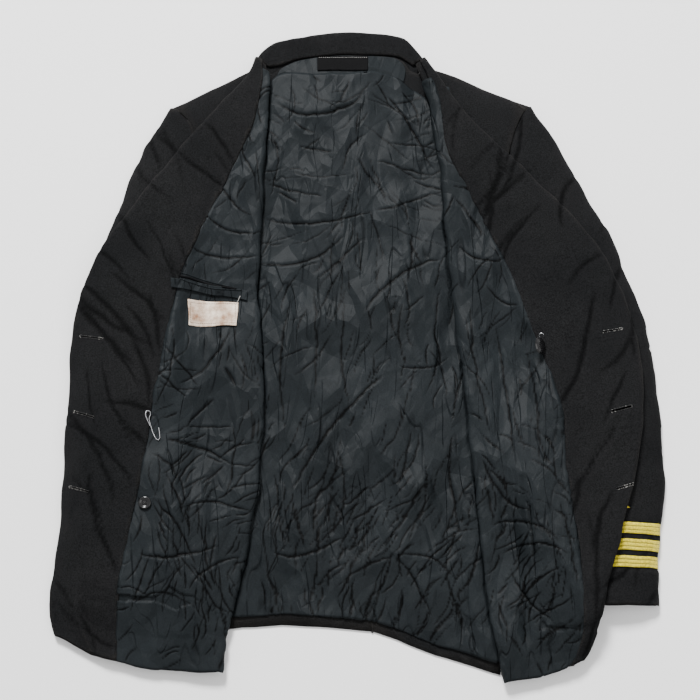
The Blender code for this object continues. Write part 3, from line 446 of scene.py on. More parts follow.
def calm(x, y, nodes):
    """0 under the named nodes, rising to 1 a little way off, so that they lie on flat cloth."""
    factor = np.ones_like(x)
    for node in nodes:
        low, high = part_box(node)
        away_x = np.maximum(np.maximum(low[0] / MM - x, x - high[0] / MM), 0)
        away_y = np.maximum(np.maximum(low[1] / MM - y, y - high[1] / MM), 0)
        factor = np.minimum(factor, smooth(np.hypot(away_x, away_y) / CALM_SPREAD))
    return factor


def raise_cloth(mesh, lift, trees, still=(), low=-0.1, high=0.4):
    """Lift what looks up by the function, along its normals, and stay under what covers it.

    A point moves not at all where its normal's rise is under low, and in full from high.
    """
    points, facing = values_of(mesh, "co"), values_of(mesh, "normal")
    weight = smooth((facing[:, 2] - low) / (high - low))
    moving = weight > 0.01
    lines = np.zeros(len(points))
    if not moving.any():
        return lines
    chosen = points[moving]
    x, y = chosen[:, 0] / MM, chosen[:, 1] / MM
    height, lines[moving] = lift(x, y)
    height = height * calm(x, y, still) * MM * weight[moving]
    if trees is not None:
        room = headroom(chosen, *trees)
        height = np.minimum(height, ROOM_USED * room) * smooth(room / FULL_ROOM)
    points[moving] = chosen + facing[moving] * height[:, None]
    mesh.vertices.foreach_set("co", points.reshape(-1))
    mesh.update()
    return lines


def sway(points):
    """Shift points sideways, the same for every piece, so that no edge of the cloth is ruled."""
    x, y = points[:, 0] / MM, points[:, 1] / MM
    folds = np.exp(-((np.abs(x) - FOLD_X) / FOLD_SPREAD) ** 2)
    points[:, 0] += (waves(x, y, SWAY_X) + folds * waves(x, y, SWAY_FOLD)) * MM
    points[:, 1] += waves(x, y, SWAY_Y) * MM


def mark_folds(mesh, lines):
    """Write how sharply the mesh turns at each point, over 0 in a valley and under 0 on a crest, plus the
    strength of painted crease shade.
    """
    points, facing = values_of(mesh, "co"), values_of(mesh, "normal")
    ends = np.empty(len(mesh.edges) * 2, dtype=np.int64)
    mesh.edges.foreach_get("vertices", ends)
    ends = ends.reshape(-1, 2)
    span = points[ends[:, 1]] - points[ends[:, 0]]
    length = np.maximum(np.linalg.norm(span, axis=1), 1e-6)
    rise = np.zeros(len(points))
    links = np.zeros(len(points))
    for own, sign in ((0, 1), (1, -1)):
        slope = sign * (span * facing[ends[:, own]]).sum(1) / length
        np.add.at(rise, ends[:, own], slope)
        np.add.at(links, ends[:, own], 1)
    turn = rise / np.maximum(links, 1)
    even = turn.copy()
    np.add.at(even, ends[:, 0], turn[ends[:, 1]])
    np.add.at(even, ends[:, 1], turn[ends[:, 0]])
    even /= links + 1
    mark = mesh.attributes.new("fold", "FLOAT", "POINT")
    mark.data.foreach_set("value", np.clip(even * 4.0 + lines, -1, 1).astype(np.float32))


def shell(node, name, material, cell, lift=None, *, under=(), still=(), covered=True):
    """A fine cloth piece that stands for a CAD node.

    under names nodes that it lies over, and still those that lie on it and keep it flat.
    """
    mesh = smooth_mesh(node)
    mesh.name = name
    divide(mesh, cell * (1))
    lines = 0.0
    if lift:
        trees = None
        if covered:
            over = [NODES[other] for other in NODES if other not in (node, *under, *still)]
            trees = tree_of(over), tree_of([NODES[node]])
        lines = raise_cloth(mesh, lift, trees, still)
    mark_folds(mesh, lines)
    points = values_of(mesh, "co")
    sway(points)
    mesh.vertices.foreach_set("co", points.reshape(-1))
    mesh.materials.clear()
    mesh.materials.append(material)
    mesh.shade_smooth()
    piece = riding(name, mesh)
    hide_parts(node)
    return piece


def new_material(name):
    """A material with its shader and node tree."""
    material = bpy.data.materials.new(name)
    material.use_nodes = True
    tree = material.node_tree
    return material, tree, tree.nodes["Principled BSDF"]


def join(tree, value, socket):
    """Link an output to a socket, or set a constant on it."""
    if isinstance(value, bpy.types.NodeSocket):
        tree.links.new(value, socket)
    else:
        socket.default_value = value


def add(tree, kind, **values):
    """A node with its inputs and properties set; an underscore stands for an input's space."""
    node = tree.nodes.new(kind)
    for key, value in values.items():
        spaced = key.replace("_", " ")
        if spaced in node.inputs:
            join(tree, value, node.inputs[spaced])
        else:
            setattr(node, key, value)
    return node


def calculated(tree, operation, *terms):
    """The result of a calculation on one or two values."""
    node = add(tree, "ShaderNodeMath", operation=operation)
    for term, socket in zip(terms, node.inputs):
        join(tree, term, socket)
    return node.outputs[0]


def ranged(tree, value, low, high, to_low=0.0, to_high=1.0):
    """A value moved from one range into another."""
    return add(tree, "ShaderNodeMapRange", Value=value, From_Min=low, From_Max=high, To_Min=to_low,
               To_Max=to_high).outputs[0]


def ramp(tree, factor, low, high, start=0.0, end=1.0):
    """A colour that goes from low to high as the factor goes from start to end."""
    node = add(tree, "ShaderNodeValToRGB", Fac=factor)
    for stop, position, colour in zip(node.color_ramp.elements, (start, end), (low, high)):
        stop.position = position
        stop.color = (*colour, 1)
    return node.outputs[0]


def mapped(tree, turn=0.0, scale=(1, 1, 1)):
    """Object coordinates, turned about Z and scaled."""
    where = add(tree, "ShaderNodeTexCoord").outputs["Object"]
    return add(tree, "ShaderNodeMapping", Vector=where, Rotation=(0, 0, math.radians(turn)),
               Scale=scale).outputs["Vector"]


def multiply(tree, a, b):
    """Two colours multiplied; the node's inputs for colours come after those for numbers."""
    node = add(tree, "ShaderNodeMix", data_type="RGBA", blend_type="MULTIPLY")
    for value, socket in ((1.0, 0), (a, 6), (b, 7)):
        join(tree, value, node.inputs[socket])
    return node.outputs[2]


def fold_shade(tree, colour, valley, crest):
    """Painted shade darkens the valleys of the cloth; its sharpest crests go towards the crest colour."""
    mark = add(tree, "ShaderNodeAttribute", attribute_name="fold").outputs["Fac"]
    shade = ramp(tree, ranged(tree, mark, -1, 1), crest, (valley,) * 3)
    for position, tone in ((0.38, 1.0), (0.56, 1.0), (0.78, 0.5 * (1 + valley))):
        stop = shade.node.color_ramp.elements.new(position)
        stop.color = (tone, tone, tone, 1)
    return multiply(tree, colour, shade)


def plain_noise(tree, **values):
    """The strength of a noise texture over the piece."""
    return add(tree, "ShaderNodeTexNoise", Vector=mapped(tree), **values).outputs["Fac"]


def seeded_noise(tree, where, seed, **values):
    """A noise texture at some coordinates, different for each seed."""
    return add(tree, "ShaderNodeTexNoise", noise_dimensions="4D", Vector=where, W=seed, **values)


def fine_creases(tree, row):
    """Thin broken lines stretched along one direction, from 0 beside them to 1 on them."""
    wave = seeded_noise(tree, mapped(tree, row.turn, (1.0, 0.17, 1.0)), row.seed, Scale=row.scale,
                        Detail=1.0, Roughness=0.35, Distortion=0.1).outputs["Fac"]
    away = calculated(tree, "ABSOLUTE", calculated(tree, "SUBTRACT", wave, 0.5))
    broken = seeded_noise(tree, mapped(tree), row.seed + 5, Scale=row.scale * 0.8,
                          Detail=2.0).outputs["Fac"]
    return calculated(tree, "MULTIPLY", ranged(tree, away, 0.0, row.width, 1.0, 0.0),
                      ranged(tree, broken, 0.48, 0.62))


def small_facets(tree, row, normal):
    """The normal, tilted by small flat facets with sharp edges that are strong in some patches."""
    bend = seeded_noise(tree, mapped(tree), row.seed, Scale=row.scale * 0.6, Detail=1.0)
    moved = add(tree, "ShaderNodeVectorMath", operation="MULTIPLY_ADD")
    for value, socket in zip((bend.outputs["Color"], (0.8 / row.scale, 0.8 / row.scale, 0),
                              mapped(tree, row.turn, (1.0, 0.5, 0.1))), moved.inputs):
        join(tree, value, socket)
    cells = add(tree, "ShaderNodeTexVoronoi", distance="MANHATTAN", Vector=moved.outputs[0],
                Scale=row.scale).outputs["Distance"]
    patches = seeded_noise(tree, mapped(tree), row.seed + 7, Scale=9.0, Detail=1.0).outputs["Fac"]
    return add(tree, "ShaderNodeBump", Height=cells, Normal=normal, Distance=row.slope / row.scale,
               Strength=ranged(tree, patches, 0.42, 0.6, 0.3, 1.0)).outputs["Normal"]


def cloth_material(name, dark, light, *, roughness, pitch, turn, bump, sheen=0.1, gloss=0.3, fine=0.06,
                   valley=0.4, crest=(1.1, 1.1, 1.1), lines=(), grain=0.3, spots=9.0, crumples=()):
    """Woven cloth: crossing threads, uneven colour, painted shade in folds and fine creases, and a soft
    sheen.

    pitch and turn are the weave's scale and direction and bump its strength, valley the tone of painted
    shade in folds and crest the tone on their crests, spots the scale of uneven colour and grain the
    strength of specks.
    """
    material, tree, shader = new_material(name)
    uneven = plain_noise(tree, Scale=spots, Detail=4.0, Roughness=0.6)
    colour = ramp(tree, uneven, dark, light, 0.3, 0.7)
    specks = plain_noise(tree, Scale=700.0, Detail=1.0)
    weave_tone = ramp(tree, specks, (1 - grain,) * 3, (1 + grain,) * 3, 0.3, 0.7)
    colour = fold_shade(tree, multiply(tree, colour, weave_tone), valley, crest)
    creases = []
    # Painted shade: each fine crease darkens the colour along its line.
    for line in lines:
        creases.append(fine_creases(tree, line))
        colour = multiply(tree, colour, ramp(tree, creases[-1], (1, 1, 1), (0.38, 0.40, 0.42)))
    tree.links.new(colour, shader.inputs["Base Color"])
    shader.inputs["Roughness"].default_value = roughness
    shader.inputs["Specular IOR Level"].default_value = gloss
    shader.inputs["Sheen Weight"].default_value = sheen
    shader.inputs["Sheen Roughness"].default_value = 0.4
    warp, weft = [add(tree, "ShaderNodeTexWave", Vector=mapped(tree, angle), Scale=pitch, Distortion=0.6,
                      Detail=1.0).outputs["Fac"] for angle in (turn, turn + 90)]
    last = add(tree, "ShaderNodeBump", Height=calculated(tree, "MULTIPLY", warp, weft), Strength=bump,
               Distance=0.0003).outputs["Normal"]
    puckers = plain_noise(tree, Scale=160.0, Detail=3.0)
    last = add(tree, "ShaderNodeBump", Height=puckers, Normal=last, Strength=fine,
               Distance=0.002).outputs["Normal"]
    for crease in creases:
        last = add(tree, "ShaderNodeBump", Height=crease, Normal=last, Strength=0.6, Distance=0.0016,
                   invert=True).outputs["Normal"]
    for row in crumples:
        last = small_facets(tree, row, last)
    tree.links.new(last, shader.inputs["Normal"])
    return material


def plain_material(name, colour, roughness, metallic=0.0):
    """A hard material with faint scuffs."""
    material, tree, shader = new_material(name)
    marks = plain_noise(tree, Scale=420.0, Detail=5.0, Roughness=0.7)
    shade = ramp(tree, marks, tuple(0.8 * c for c in colour), tuple(min(1.15 * c, 1) for c in colour),
                 0.35, 0.65)
    tree.links.new(shade, shader.inputs["Base Color"])
    rough = ranged(tree, marks, 0.0, 1.0, roughness * 0.8, min(roughness * 1.3, 1))
    tree.links.new(rough, shader.inputs["Roughness"])
    shader.inputs["Metallic"].default_value = metallic
    return material


# Each cloth below darkens its folds with painted shade through its valley tone, the lining and the gold
# lace most, and the lining's fine creases paint shade lines too.
WOOL = cloth_material("wool", (0.0068, 0.0071, 0.0076), (0.0105, 0.0106, 0.011), roughness=0.9,
                      sheen=0.01, pitch=1100, turn=45, bump=0.5, gloss=0.03, crest=(1.9, 1.75, 1.6),
                      grain=0.42)
LINING = cloth_material("lining", (0.0077, 0.0096, 0.0109), (0.0121, 0.0148, 0.0166), roughness=0.5,
                        sheen=0.0, pitch=1800, turn=0, bump=0.15, gloss=0.07, valley=0.05, grain=0.16,
                        lines=(FineCrease(22, 30, 0.011, 1), FineCrease(-28, 34, 0.012, 2),
                               FineCrease(64, 26, 0.010, 3)),
                        crumples=(SmallFacet(14, 15, 0.20, 4), SmallFacet(-31, 28, 0.18, 5),
                                  SmallFacet(52, 55, 0.11, 6)))
GOLD = cloth_material("gold_thread", (0.66, 0.52, 0.010), (0.86, 0.72, 0.045), roughness=0.5, sheen=0.0,
                      pitch=1300, turn=45, bump=0.9, gloss=0.4, fine=0.15, valley=0.16,
                      crest=(0.8, 0.7, 0.6), spots=60)
TAN = cloth_material("tan_cloth", (0.30, 0.16, 0.09), (0.92, 0.80, 0.66), roughness=0.8, pitch=1600,
                     turn=0, bump=0.5, fine=0.12, spots=70, grain=0.1)
BROWN_THREAD = cloth_material("brown_thread", (0.07, 0.035, 0.02), (0.17, 0.10, 0.06), roughness=0.8,
                              pitch=2400, turn=45, bump=0.6)
PALE_THREAD = cloth_material("pale_thread", (0.16, 0.155, 0.145), (0.42, 0.41, 0.39), roughness=0.8,
                             pitch=2400, turn=45, bump=0.6)
DARK_THREAD = cloth_material("dark_thread", (0.010, 0.010, 0.011), (0.045, 0.044, 0.043), roughness=0.7,
                             sheen=0.05, pitch=2400, turn=45, bump=0.6, spots=120)
# Black cloth for the neck label; the same near-black also stands for painted shade in the pocket's mouth
# and pleats and in the button's holes.
BLACK_CLOTH_AND_SHADE = cloth_material("black_satin_and_shade", (0.002, 0.002, 0.0022), (0.0035, 0.0035, 0.004),
                             roughness=0.6, sheen=0.0, pitch=2200, turn=0, bump=0.3, gloss=0.04)
# A near-black for the painted shadow in the buttonholes' slits.
SLIT_SHADE = cloth_material("slit_shadow", (0.0003, 0.0003, 0.0003), (0.0005, 0.0005, 0.0005),
                      roughness=0.95, sheen=0.0, pitch=2200, turn=0, bump=0.1, gloss=0.0)
BUTTON = plain_material("button_black", (0.0035, 0.0035, 0.004), roughness=0.2)
STEEL = plain_material("pin_wire", (0.62, 0.62, 0.64), roughness=0.25, metallic=1.0)


def flat_box(node):
    """A node's box from above in millimetres: low x, low y, high x, high y."""
    return [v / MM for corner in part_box(node) for v in corner[:2]]


back_rows = BACK_CREASES + scattered(flat_box("back_lining"), back_flow, count=330, seed=21,
                                     length=(20, 85), depth=(0.3, 1.6))
back_rows += scattered((-110, -350, 120, -200), back_flow, count=110, seed=22,
                       length=(18, 60), depth=(0.5, 2.0))
shell("back_lining", "back_lining_cloth", LINING, CELL_LINING,
      fields(BACK_CRUMPLE, back_rows, base=2.2, swell=1.2))
SMALL_THINGS = {"right": ("pocket_welt", "pocket_label", "safety_pin", "button_flat"),
                "left": ("button_tilted",)}
LINING_SEEDS = {"left": 51, "right": 52}
LOWER_LINING_TOP = -80
WOOL_FOLD_WIDTH = 3.2
linings = {}
facings = {}
for side in ("left", "right"):
    box = flat_box("front_lining_" + side)
    rows = FRONT_CREASES[side] + scattered(box, front_flow, count=130, seed=LINING_SEEDS[side],
                                           length=(20, 70), depth=(0.3, 1.5))
    rows += scattered((*box[:3], LOWER_LINING_TOP), front_flow, count=100, seed=53,
                      length=(16, 55), depth=(0.5, 1.9))
    linings[side] = shell("front_lining_" + side, "front_lining_cloth_" + side, LINING, CELL_LINING,
                          fields(FRONT_CRUMPLE, rows, base=2.0, swell=0.9),
                          under=("front_" + side, "facing_" + side), still=SMALL_THINGS[side])
    soft_rows = [row._replace(width=WOOL_FOLD_WIDTH * row.width) for row in
                 scattered((-340, -350, 340, 300), wool_flow, count=120, seed=57,
                           length=(60, 170), depth=(0.5, 1.7))]
    facings[side] = shell("facing_" + side, "facing_cloth_" + side, WOOL, CELL_WOOL,
                          fields(WOOL_CRUMPLE, soft_rows, base=1.2, swell=1.0),
                          under=("front_" + side, "front_lining_" + side), still=SMALL_THINGS[side])
    shell("sleeve_top_" + side, "sleeve_cloth_" + side, WOOL, CELL_WOOL,
          fields(WOOL_CRUMPLE, soft_rows, base=1.2, swell=1.2))
    shell("front_" + side, "front_cloth_" + side, WOOL, CELL_PANEL, sunk, covered=False)
    for part in ("back", "side", "sleeve_under"):
        shell(part + "_" + side, part + "_cloth_" + side, WOOL, CELL_PANEL)
shell("collar", "collar_cloth", WOOL, CELL_WOOL, fields(base=0.6, swell=0.8))
shell("back_neck_facing", "back_neck_facing_cloth", LINING, CELL_SMALL)


def ridges(node, count, height):
    """A lift function of raised lengthwise ribs across a straight band of cloth, with painted shade in
    the grooves between them.
    """
    points = np.array([v.co[:] for v in NODES[node].data.vertices if v.co.z > 0.004]) / MM
    slope, start = np.polyfit(points[:, 0], points[:, 1], 1)
    half = np.abs(points[:, 1] - start - slope * points[:, 0]).max()

    def lift(x, y):
        across = (y - start - slope * x) / half
        rib = np.abs(np.sin(0.5 * np.pi * count * (across + 1)))
        # The second value paints shade into the grooves between the ribs.
        return height * rib + 0.1 * np.sin(x * 4.0 + 6.0 * across), np.exp(-(rib / 0.32) ** 2)
    return lift


for side in ("left", "right"):
    for number in range(1, 4):
        lace = "lace_%s_%d" % (side, number)
        shell(lace, lace + "_woven", GOLD, CELL_SMALL, ridges(lace, count=3, height=0.8))
    star = "star_" + side
    shell(star, star + "_stitched", GOLD, CELL_SMALL, fields(base=0.3, swell=0.4))
label = shell("pocket_label", "pocket_label_cloth", TAN, CELL_SMALL, fields(base=0.15, swell=0.35))
neck = shell("neck_label", "neck_label_cloth", BLACK_CLOTH_AND_SHADE, CELL_SMALL, fields(base=0.1, swell=0.1))
welt = shell("pocket_welt", "pocket_welt_cloth", LINING, CELL_SMALL, fields(base=0.2, swell=0.5))


def above(tree, x, y, up):
    """The point that many millimetres above the cloth at x, y."""
    hit = tree.ray_cast(Vector((x * MM, y * MM, 0.2)), Vector((0, 0, -1)))
    return Vector((x, y, (hit[0].z / MM if hit[0] is not None else 10.0) + up))


def threads(name, material, strands):
    """One piece of thin round threads; each strand is its points and radius in millimetres."""
    work = bmesh.new()
    for points, radius in strands:
        points = [Vector(point) for point in points]
        rings = []
        for k, point in enumerate(points):
            ahead = points[min(k + 1, len(points) - 1)] - points[max(k - 1, 0)]
            side = ahead.cross(Vector((0, 0, 1)))
            if side.length < 1e-3:
                side = Vector((1, 0, 0))
            side.normalize()
            top = side.cross(ahead).normalized()
            outs = [side * math.cos(turn) + top * math.sin(turn)
                    for turn in np.arange(THREAD_SIDES) * 2 * math.pi / THREAD_SIDES]
            rings.append([work.verts.new((point + radius * out) * MM) for out in outs])
        for one, two in zip(rings, rings[1:]):
            for i in range(THREAD_SIDES):
                j = (i + 1) % THREAD_SIDES
                work.faces.new((one[i], one[j], two[j], two[i]))
        work.faces.new(rings[0][::-1])
        work.faces.new(rings[-1])
    bmesh.ops.recalc_face_normals(work, faces=work.faces)
    mesh = bpy.data.meshes.new(name)
    work.to_mesh(mesh)
    work.free()
    mark_folds(mesh, 0.0)
    mesh.materials.append(material)
    mesh.shade_smooth()
    riding(name, mesh)


# Slits of the buttonholes, from the eye at the edge's side to the inner end, with half their
# width and the share of stitches that are worn pale.
HOLES = {
    "right": [Hole(-333, -4, -306, -9, 0.5, 0.14), Hole(-335, -96, -311, -104, 0.5, 0.14),
              Hole(-336, -184, -313, -191, 0.5, 0.14)],
    "left": [Hole(308, 3, 286, -1, 0.6, 0.3), Hole(314, -91, 291, -97, 1.0, 0.05),
             Hole(312, -182, 292, -188, 0.6, 0.3)],
}
STITCH_PITCH = 0.85
STITCH_LENGTH = 1.0
SIDE_STITCH_RADIUS = 0.26
END_STITCH_RADIUS = 0.28
END_STITCHES = 9


def buttonhole(tree, hole, draw):
    """Dark and pale stitches round a slit, and a near-black tube in the slit for its painted shadow."""
    start = Vector((hole.x0, hole.y0))
    span = Vector((hole.x1, hole.y1)) - start
    length = span.length
    along = span / length
    across = Vector((-along.y, along.x))
    dark, pale = [], []
    count = int(length / STITCH_PITCH)
    for sign in (-1, 1):
        for k in range(count + 1):
            t = k * length / count
            inner = hole.half + draw.uniform(0, 0.2)
            outer = hole.half + STITCH_LENGTH + draw.uniform(-0.25, 0.3)
            lean = draw.uniform(-0.3, 0.3)
            strand = []
            for reach, up in ((inner, 0.15), (0.5 * (inner + outer), 0.55), (outer, 0.1)):
                place = start + along * (t + lean * reach) + across * sign * reach
                strand.append(above(tree, *place, up))
            (pale if draw.random() < hole.worn else dark).append((strand, SIDE_STITCH_RADIUS))
    for k in range(END_STITCHES):
        turn = math.radians(90 + 180 * k / (END_STITCHES - 1))
        ray = along * math.cos(turn) + across * math.sin(turn)
        strand = [above(tree, *(start + ray * reach), up)
                  for reach, up in ((0.6, 0.15), (1.2, 0.5), (1.8, 0.1))]
        (pale if draw.random() < hole.worn else dark).append((strand, END_STITCH_RADIUS))
    # A near-black tube along the slit: the painted shadow of the hole.
    slit_shadow_tube = [above(tree, *(start + span * t), 0.05) for t in np.linspace(0, 1, 8)]
    return dark, pale, (slit_shadow_tube, hole.half + 0.05)


draw = random.Random(7)
for side in ("left", "right"):
    cloth = tree_of([facings[side]])
    dark, pale, slit_shadow_tubes = [], [], []
    for hole in HOLES[side]:
        more_dark, more_pale, slit_shadow_tube = buttonhole(cloth, hole, draw)
        dark += more_dark
        pale += more_pale
        slit_shadow_tubes.append(slit_shadow_tube)
    threads("buttonhole_stitches_" + side, DARK_THREAD, dark)
    threads("buttonhole_worn_stitches_" + side, PALE_THREAD, pale)
    threads("buttonhole_slit_shadows_" + side, SLIT_SHADE, slit_shadow_tubes)


def dashes(tree, corners, draw, *, pitch, share, radius):
    """Running stitches along a line through the corners."""
    made = []
    for (x0, y0), (x1, y1) in zip(corners, corners[1:]):
        length = math.hypot(x1 - x0, y1 - y0)
        for k in range(int(length / pitch)):
            t0, t1 = (k + 0.1) * pitch / length, (k + 0.1 + share) * pitch / length
            skew = draw.uniform(-0.12, 0.12)
            strand = [above(tree, x0 + (x1 - x0) * t, y0 + (y1 - y0) * t + skew, up)
                      for t, up in ((t0, -0.1), (0.5 * (t0 + t1), 0.22), (t1, -0.1))]
            made.append((strand, radius))
    return made


def inset_corners(node, inset):
    """The corners of a node's box, moved in, and back to the first."""
    x0, y0, x1, y1 = flat_box(node)
    x0, y0, x1, y1 = x0 + inset, y0 + inset, x1 - inset, y1 - inset
    return [(x0, y0), (x1, y0), (x1, y1), (x0, y1), (x0, y0)]


threads("pocket_label_stitches", BROWN_THREAD,
        dashes(tree_of([label]), inset_corners("pocket_label", 3.4), draw, pitch=2.2, share=0.65,
               radius=0.26))
NECK_TOP_EDGE = slice(2, 4)
threads("neck_label_stitches", PALE_THREAD,
        dashes(tree_of([neck]), inset_corners("neck_label", 1.0)[NECK_TOP_EDGE], draw, pitch=2.6,
               share=0.6, radius=0.3))


def line_on(tree, corners, up, parts=24):
    """Points along a line through the corners, on the cloth."""
    made = []
    for (x0, y0), (x1, y1) in zip(corners, corners[1:]):
        for k in range(parts):
            made.append(above(tree, x0 + (x1 - x0) * k / parts, y0 + (y1 - y0) * k / parts, up))
    made.append(above(tree, *corners[-1], up))
    return made


# Pocket: a rolled edge each side of the mouth, a black strand for the mouth's painted shadow and black
# strands for painted shade in the small pleats under it. Each line has its corners, how far it stands
# over the cloth and its radius.
POCKET_EDGES = [
    ([(-232, 71), (-212, 73), (-184, 66), (-144, 56)], 0.3, 0.8),
    ([(-230, 70), (-206, 62), (-176, 56), (-144, 54)], 0.3, 0.8),
]
POCKET_MOUTH_SHADE = [([(-226, 70.5), (-206, 68), (-180, 61.5), (-150, 55.5)], 0.0, 1.5)]
POCKET_PLEAT_SHADES = [
    ([(-207, 62), (-203, 54), (-205, 44)], -0.1, 0.55),
    ([(-181, 58), (-179, 50), (-182, 42)], -0.1, 0.55),
    ([(-199, 66), (-195, 58)], -0.1, 0.5),
]
LOOSE_THREAD = [(-152, 34, 0.4), (-148, 40, 1.6), (-145, 47, 0.5)]
lining_top = tree_of([linings["right"], welt])
for name, material, lines in (("pocket_edges", LINING, POCKET_EDGES),
                              ("pocket_mouth_shadow", BLACK_CLOTH_AND_SHADE, POCKET_MOUTH_SHADE),
                              ("pocket_pleat_shadows", BLACK_CLOTH_AND_SHADE, POCKET_PLEAT_SHADES)):
    threads(name, material, [(line_on(lining_top, corners, up), radius) for corners, up, radius in lines])
threads("label_loose_thread", PALE_THREAD,
        [([above(lining_top, x, y, up) for x, y, up in LOOSE_THREAD], 0.4)])


def seam_points(node, other, near=1.5, step=16):
    """Points down the seam of two nodes, in millimetres, where their meshes meet."""
    own = np.array([v.co[:] for v in NODES[node].data.vertices]) / MM
    others = np.array([v.co[:] for v in NODES[other].data.vertices]) / MM
    rows = {}
    for point in own:
        if np.linalg.norm(others - point, axis=1).min() < near:
            rows.setdefault(round(point[1] / step), []).append(point)
    line = [Vector(np.mean(rows[k], axis=0)) for k in sorted(rows)]
    line = [line[0] + (line[0] - line[1]).normalized() * 1.5] + line
    moved = np.array([p[:] for p in line]) * MM
    sway(moved)
    return [Vector(p) / MM for p in moved]


def sewn_button(node):
    """A round button with a raised rim, a dished middle, crossed thread and near-black discs for the
    painted shade of its four holes.
    """
    low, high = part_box(node)
    cx, cy = 0.5 * (low[0] + high[0]) / MM, 0.5 * (low[1] + high[1]) / MM
    radius = 0.5 * (high[0] - low[0]) / MM
    base, top = low[2] / MM, high[2] / MM
    # share of the radius and height, from the middle of the face over the rim to the back
    profile = [(0.0, top - 1.0), (0.25, top - 1.0), (0.5, top - 0.95), (0.62, top - 0.7),
               (0.72, top - 0.1), (0.82, top + 0.15), (0.92, top), (0.99, top - 0.6),
               (1.0, 0.5 * (top + base)), (0.96, base + 0.2), (0.9, base), (0.0, base)]
    work = bmesh.new()
    rings = []
    for share, z in profile:
        ring = []
        for turn in np.arange(BUTTON_SIDES if share else 1) * 2 * math.pi / BUTTON_SIDES:
            ring.append(work.verts.new(((cx + radius * share * math.cos(turn)) * MM,
                                        (cy + radius * share * math.sin(turn)) * MM, z * MM)))
        rings.append(ring)
    for one, two in zip(rings, rings[1:]):
        for i in range(BUTTON_SIDES):
            j = (i + 1) % BUTTON_SIDES
            if len(one) == 1:
                work.faces.new((one[0], two[i], two[j]))
            elif len(two) == 1:
                work.faces.new((one[i], two[0], one[j]))
            else:
                work.faces.new((one[i], two[i], two[j], one[j]))
    bmesh.ops.recalc_face_normals(work, faces=work.faces)
    mesh = bpy.data.meshes.new(node + "_turned")
    work.to_mesh(mesh)
    work.free()
    mesh.materials.append(BUTTON)
    mesh.shade_smooth()
    piece = riding(node + "_turned", mesh)
    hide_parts(node)
    eye = 0.24 * radius
    holes = [(cx + eye * u, cy + eye * v) for u, v in ((1, 1), (-1, 1), (-1, -1), (1, -1))]
    # Near-black discs at the four holes: painted shade, the holes are not cut.
    threads(node + "_hole_shades", BLACK_CLOTH_AND_SHADE,
            [([(x, y, top - 1.1), (x, y, top - 0.93)], 0.95) for x, y in holes])
    threads(node + "_threads", DARK_THREAD,
            [([(*holes[a], top - 1.0), (cx, cy, top - 0.35), (*holes[b], top - 1.0)], 0.4)
             for a, b in ((0, 2), (1, 3))])


# Tapes and rolls inside the shoulders' corners, which close the corner between front and sleeve.
ARMHOLE_TAPE = [(198, 299, 8), (208, 292, 8), (200, 274, 8), (191, 257, 8), (178, 228, 8)]
SLEEVE_ROLL = [(198, 300, 9), (210, 291, 9), (217, 276, 9)]
LEFT_CORNER_ROLL = [(203, 301, 6), (209.5, 296.5, 6), (214, 290, 7)]
threads("back_seam", WOOL, [(seam_points("back_right", "back_left"), 0.9)])
threads("armhole_tapes", WOOL,
        [([(sign * x, y, z) for x, y, z in ARMHOLE_TAPE], 2.2) for sign in (-1, 1)])
threads("sleeve_head_rolls", WOOL,
        [([(sign * x, y, z) for x, y, z in SLEEVE_ROLL], 2.4) for sign in (-1, 1)]
        + [(LEFT_CORNER_ROLL, 2.4)])
low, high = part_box("button_tilted")
ring_centre = Vector((0.5 * (low[0] + high[0]) / MM + 1.0, high[1] / MM + 1.0, high[2] / MM - 4.0))
wire = [ring_centre + Vector((2.6 * math.cos(turn), 1.8 * math.sin(turn), 3.0 * math.sin(turn)))
        for turn in np.linspace(-0.6, 4.4, 14)]
threads("button_tilted_wire", STEEL, [(wire, 0.45)])
sewn_button("button_flat")

for name in NODES:
    item = NODES[name]
    if name.startswith(("lace", "star")):
        made = GOLD
    elif name == "pocket_label":
        made = TAN
    elif name == "neck_label":
        made = BLACK_CLOTH_AND_SHADE
    elif name == "safety_pin":
        made = STEEL
    elif name.startswith("button"):
        made = BUTTON
    elif name == "pocket_welt" or "lining" in name or name == "back_neck_facing":
        made = LINING
    else:
        made = WOOL
    item.data.materials.clear()
    item.data.materials.append(made)
    item.data.shade_smooth()


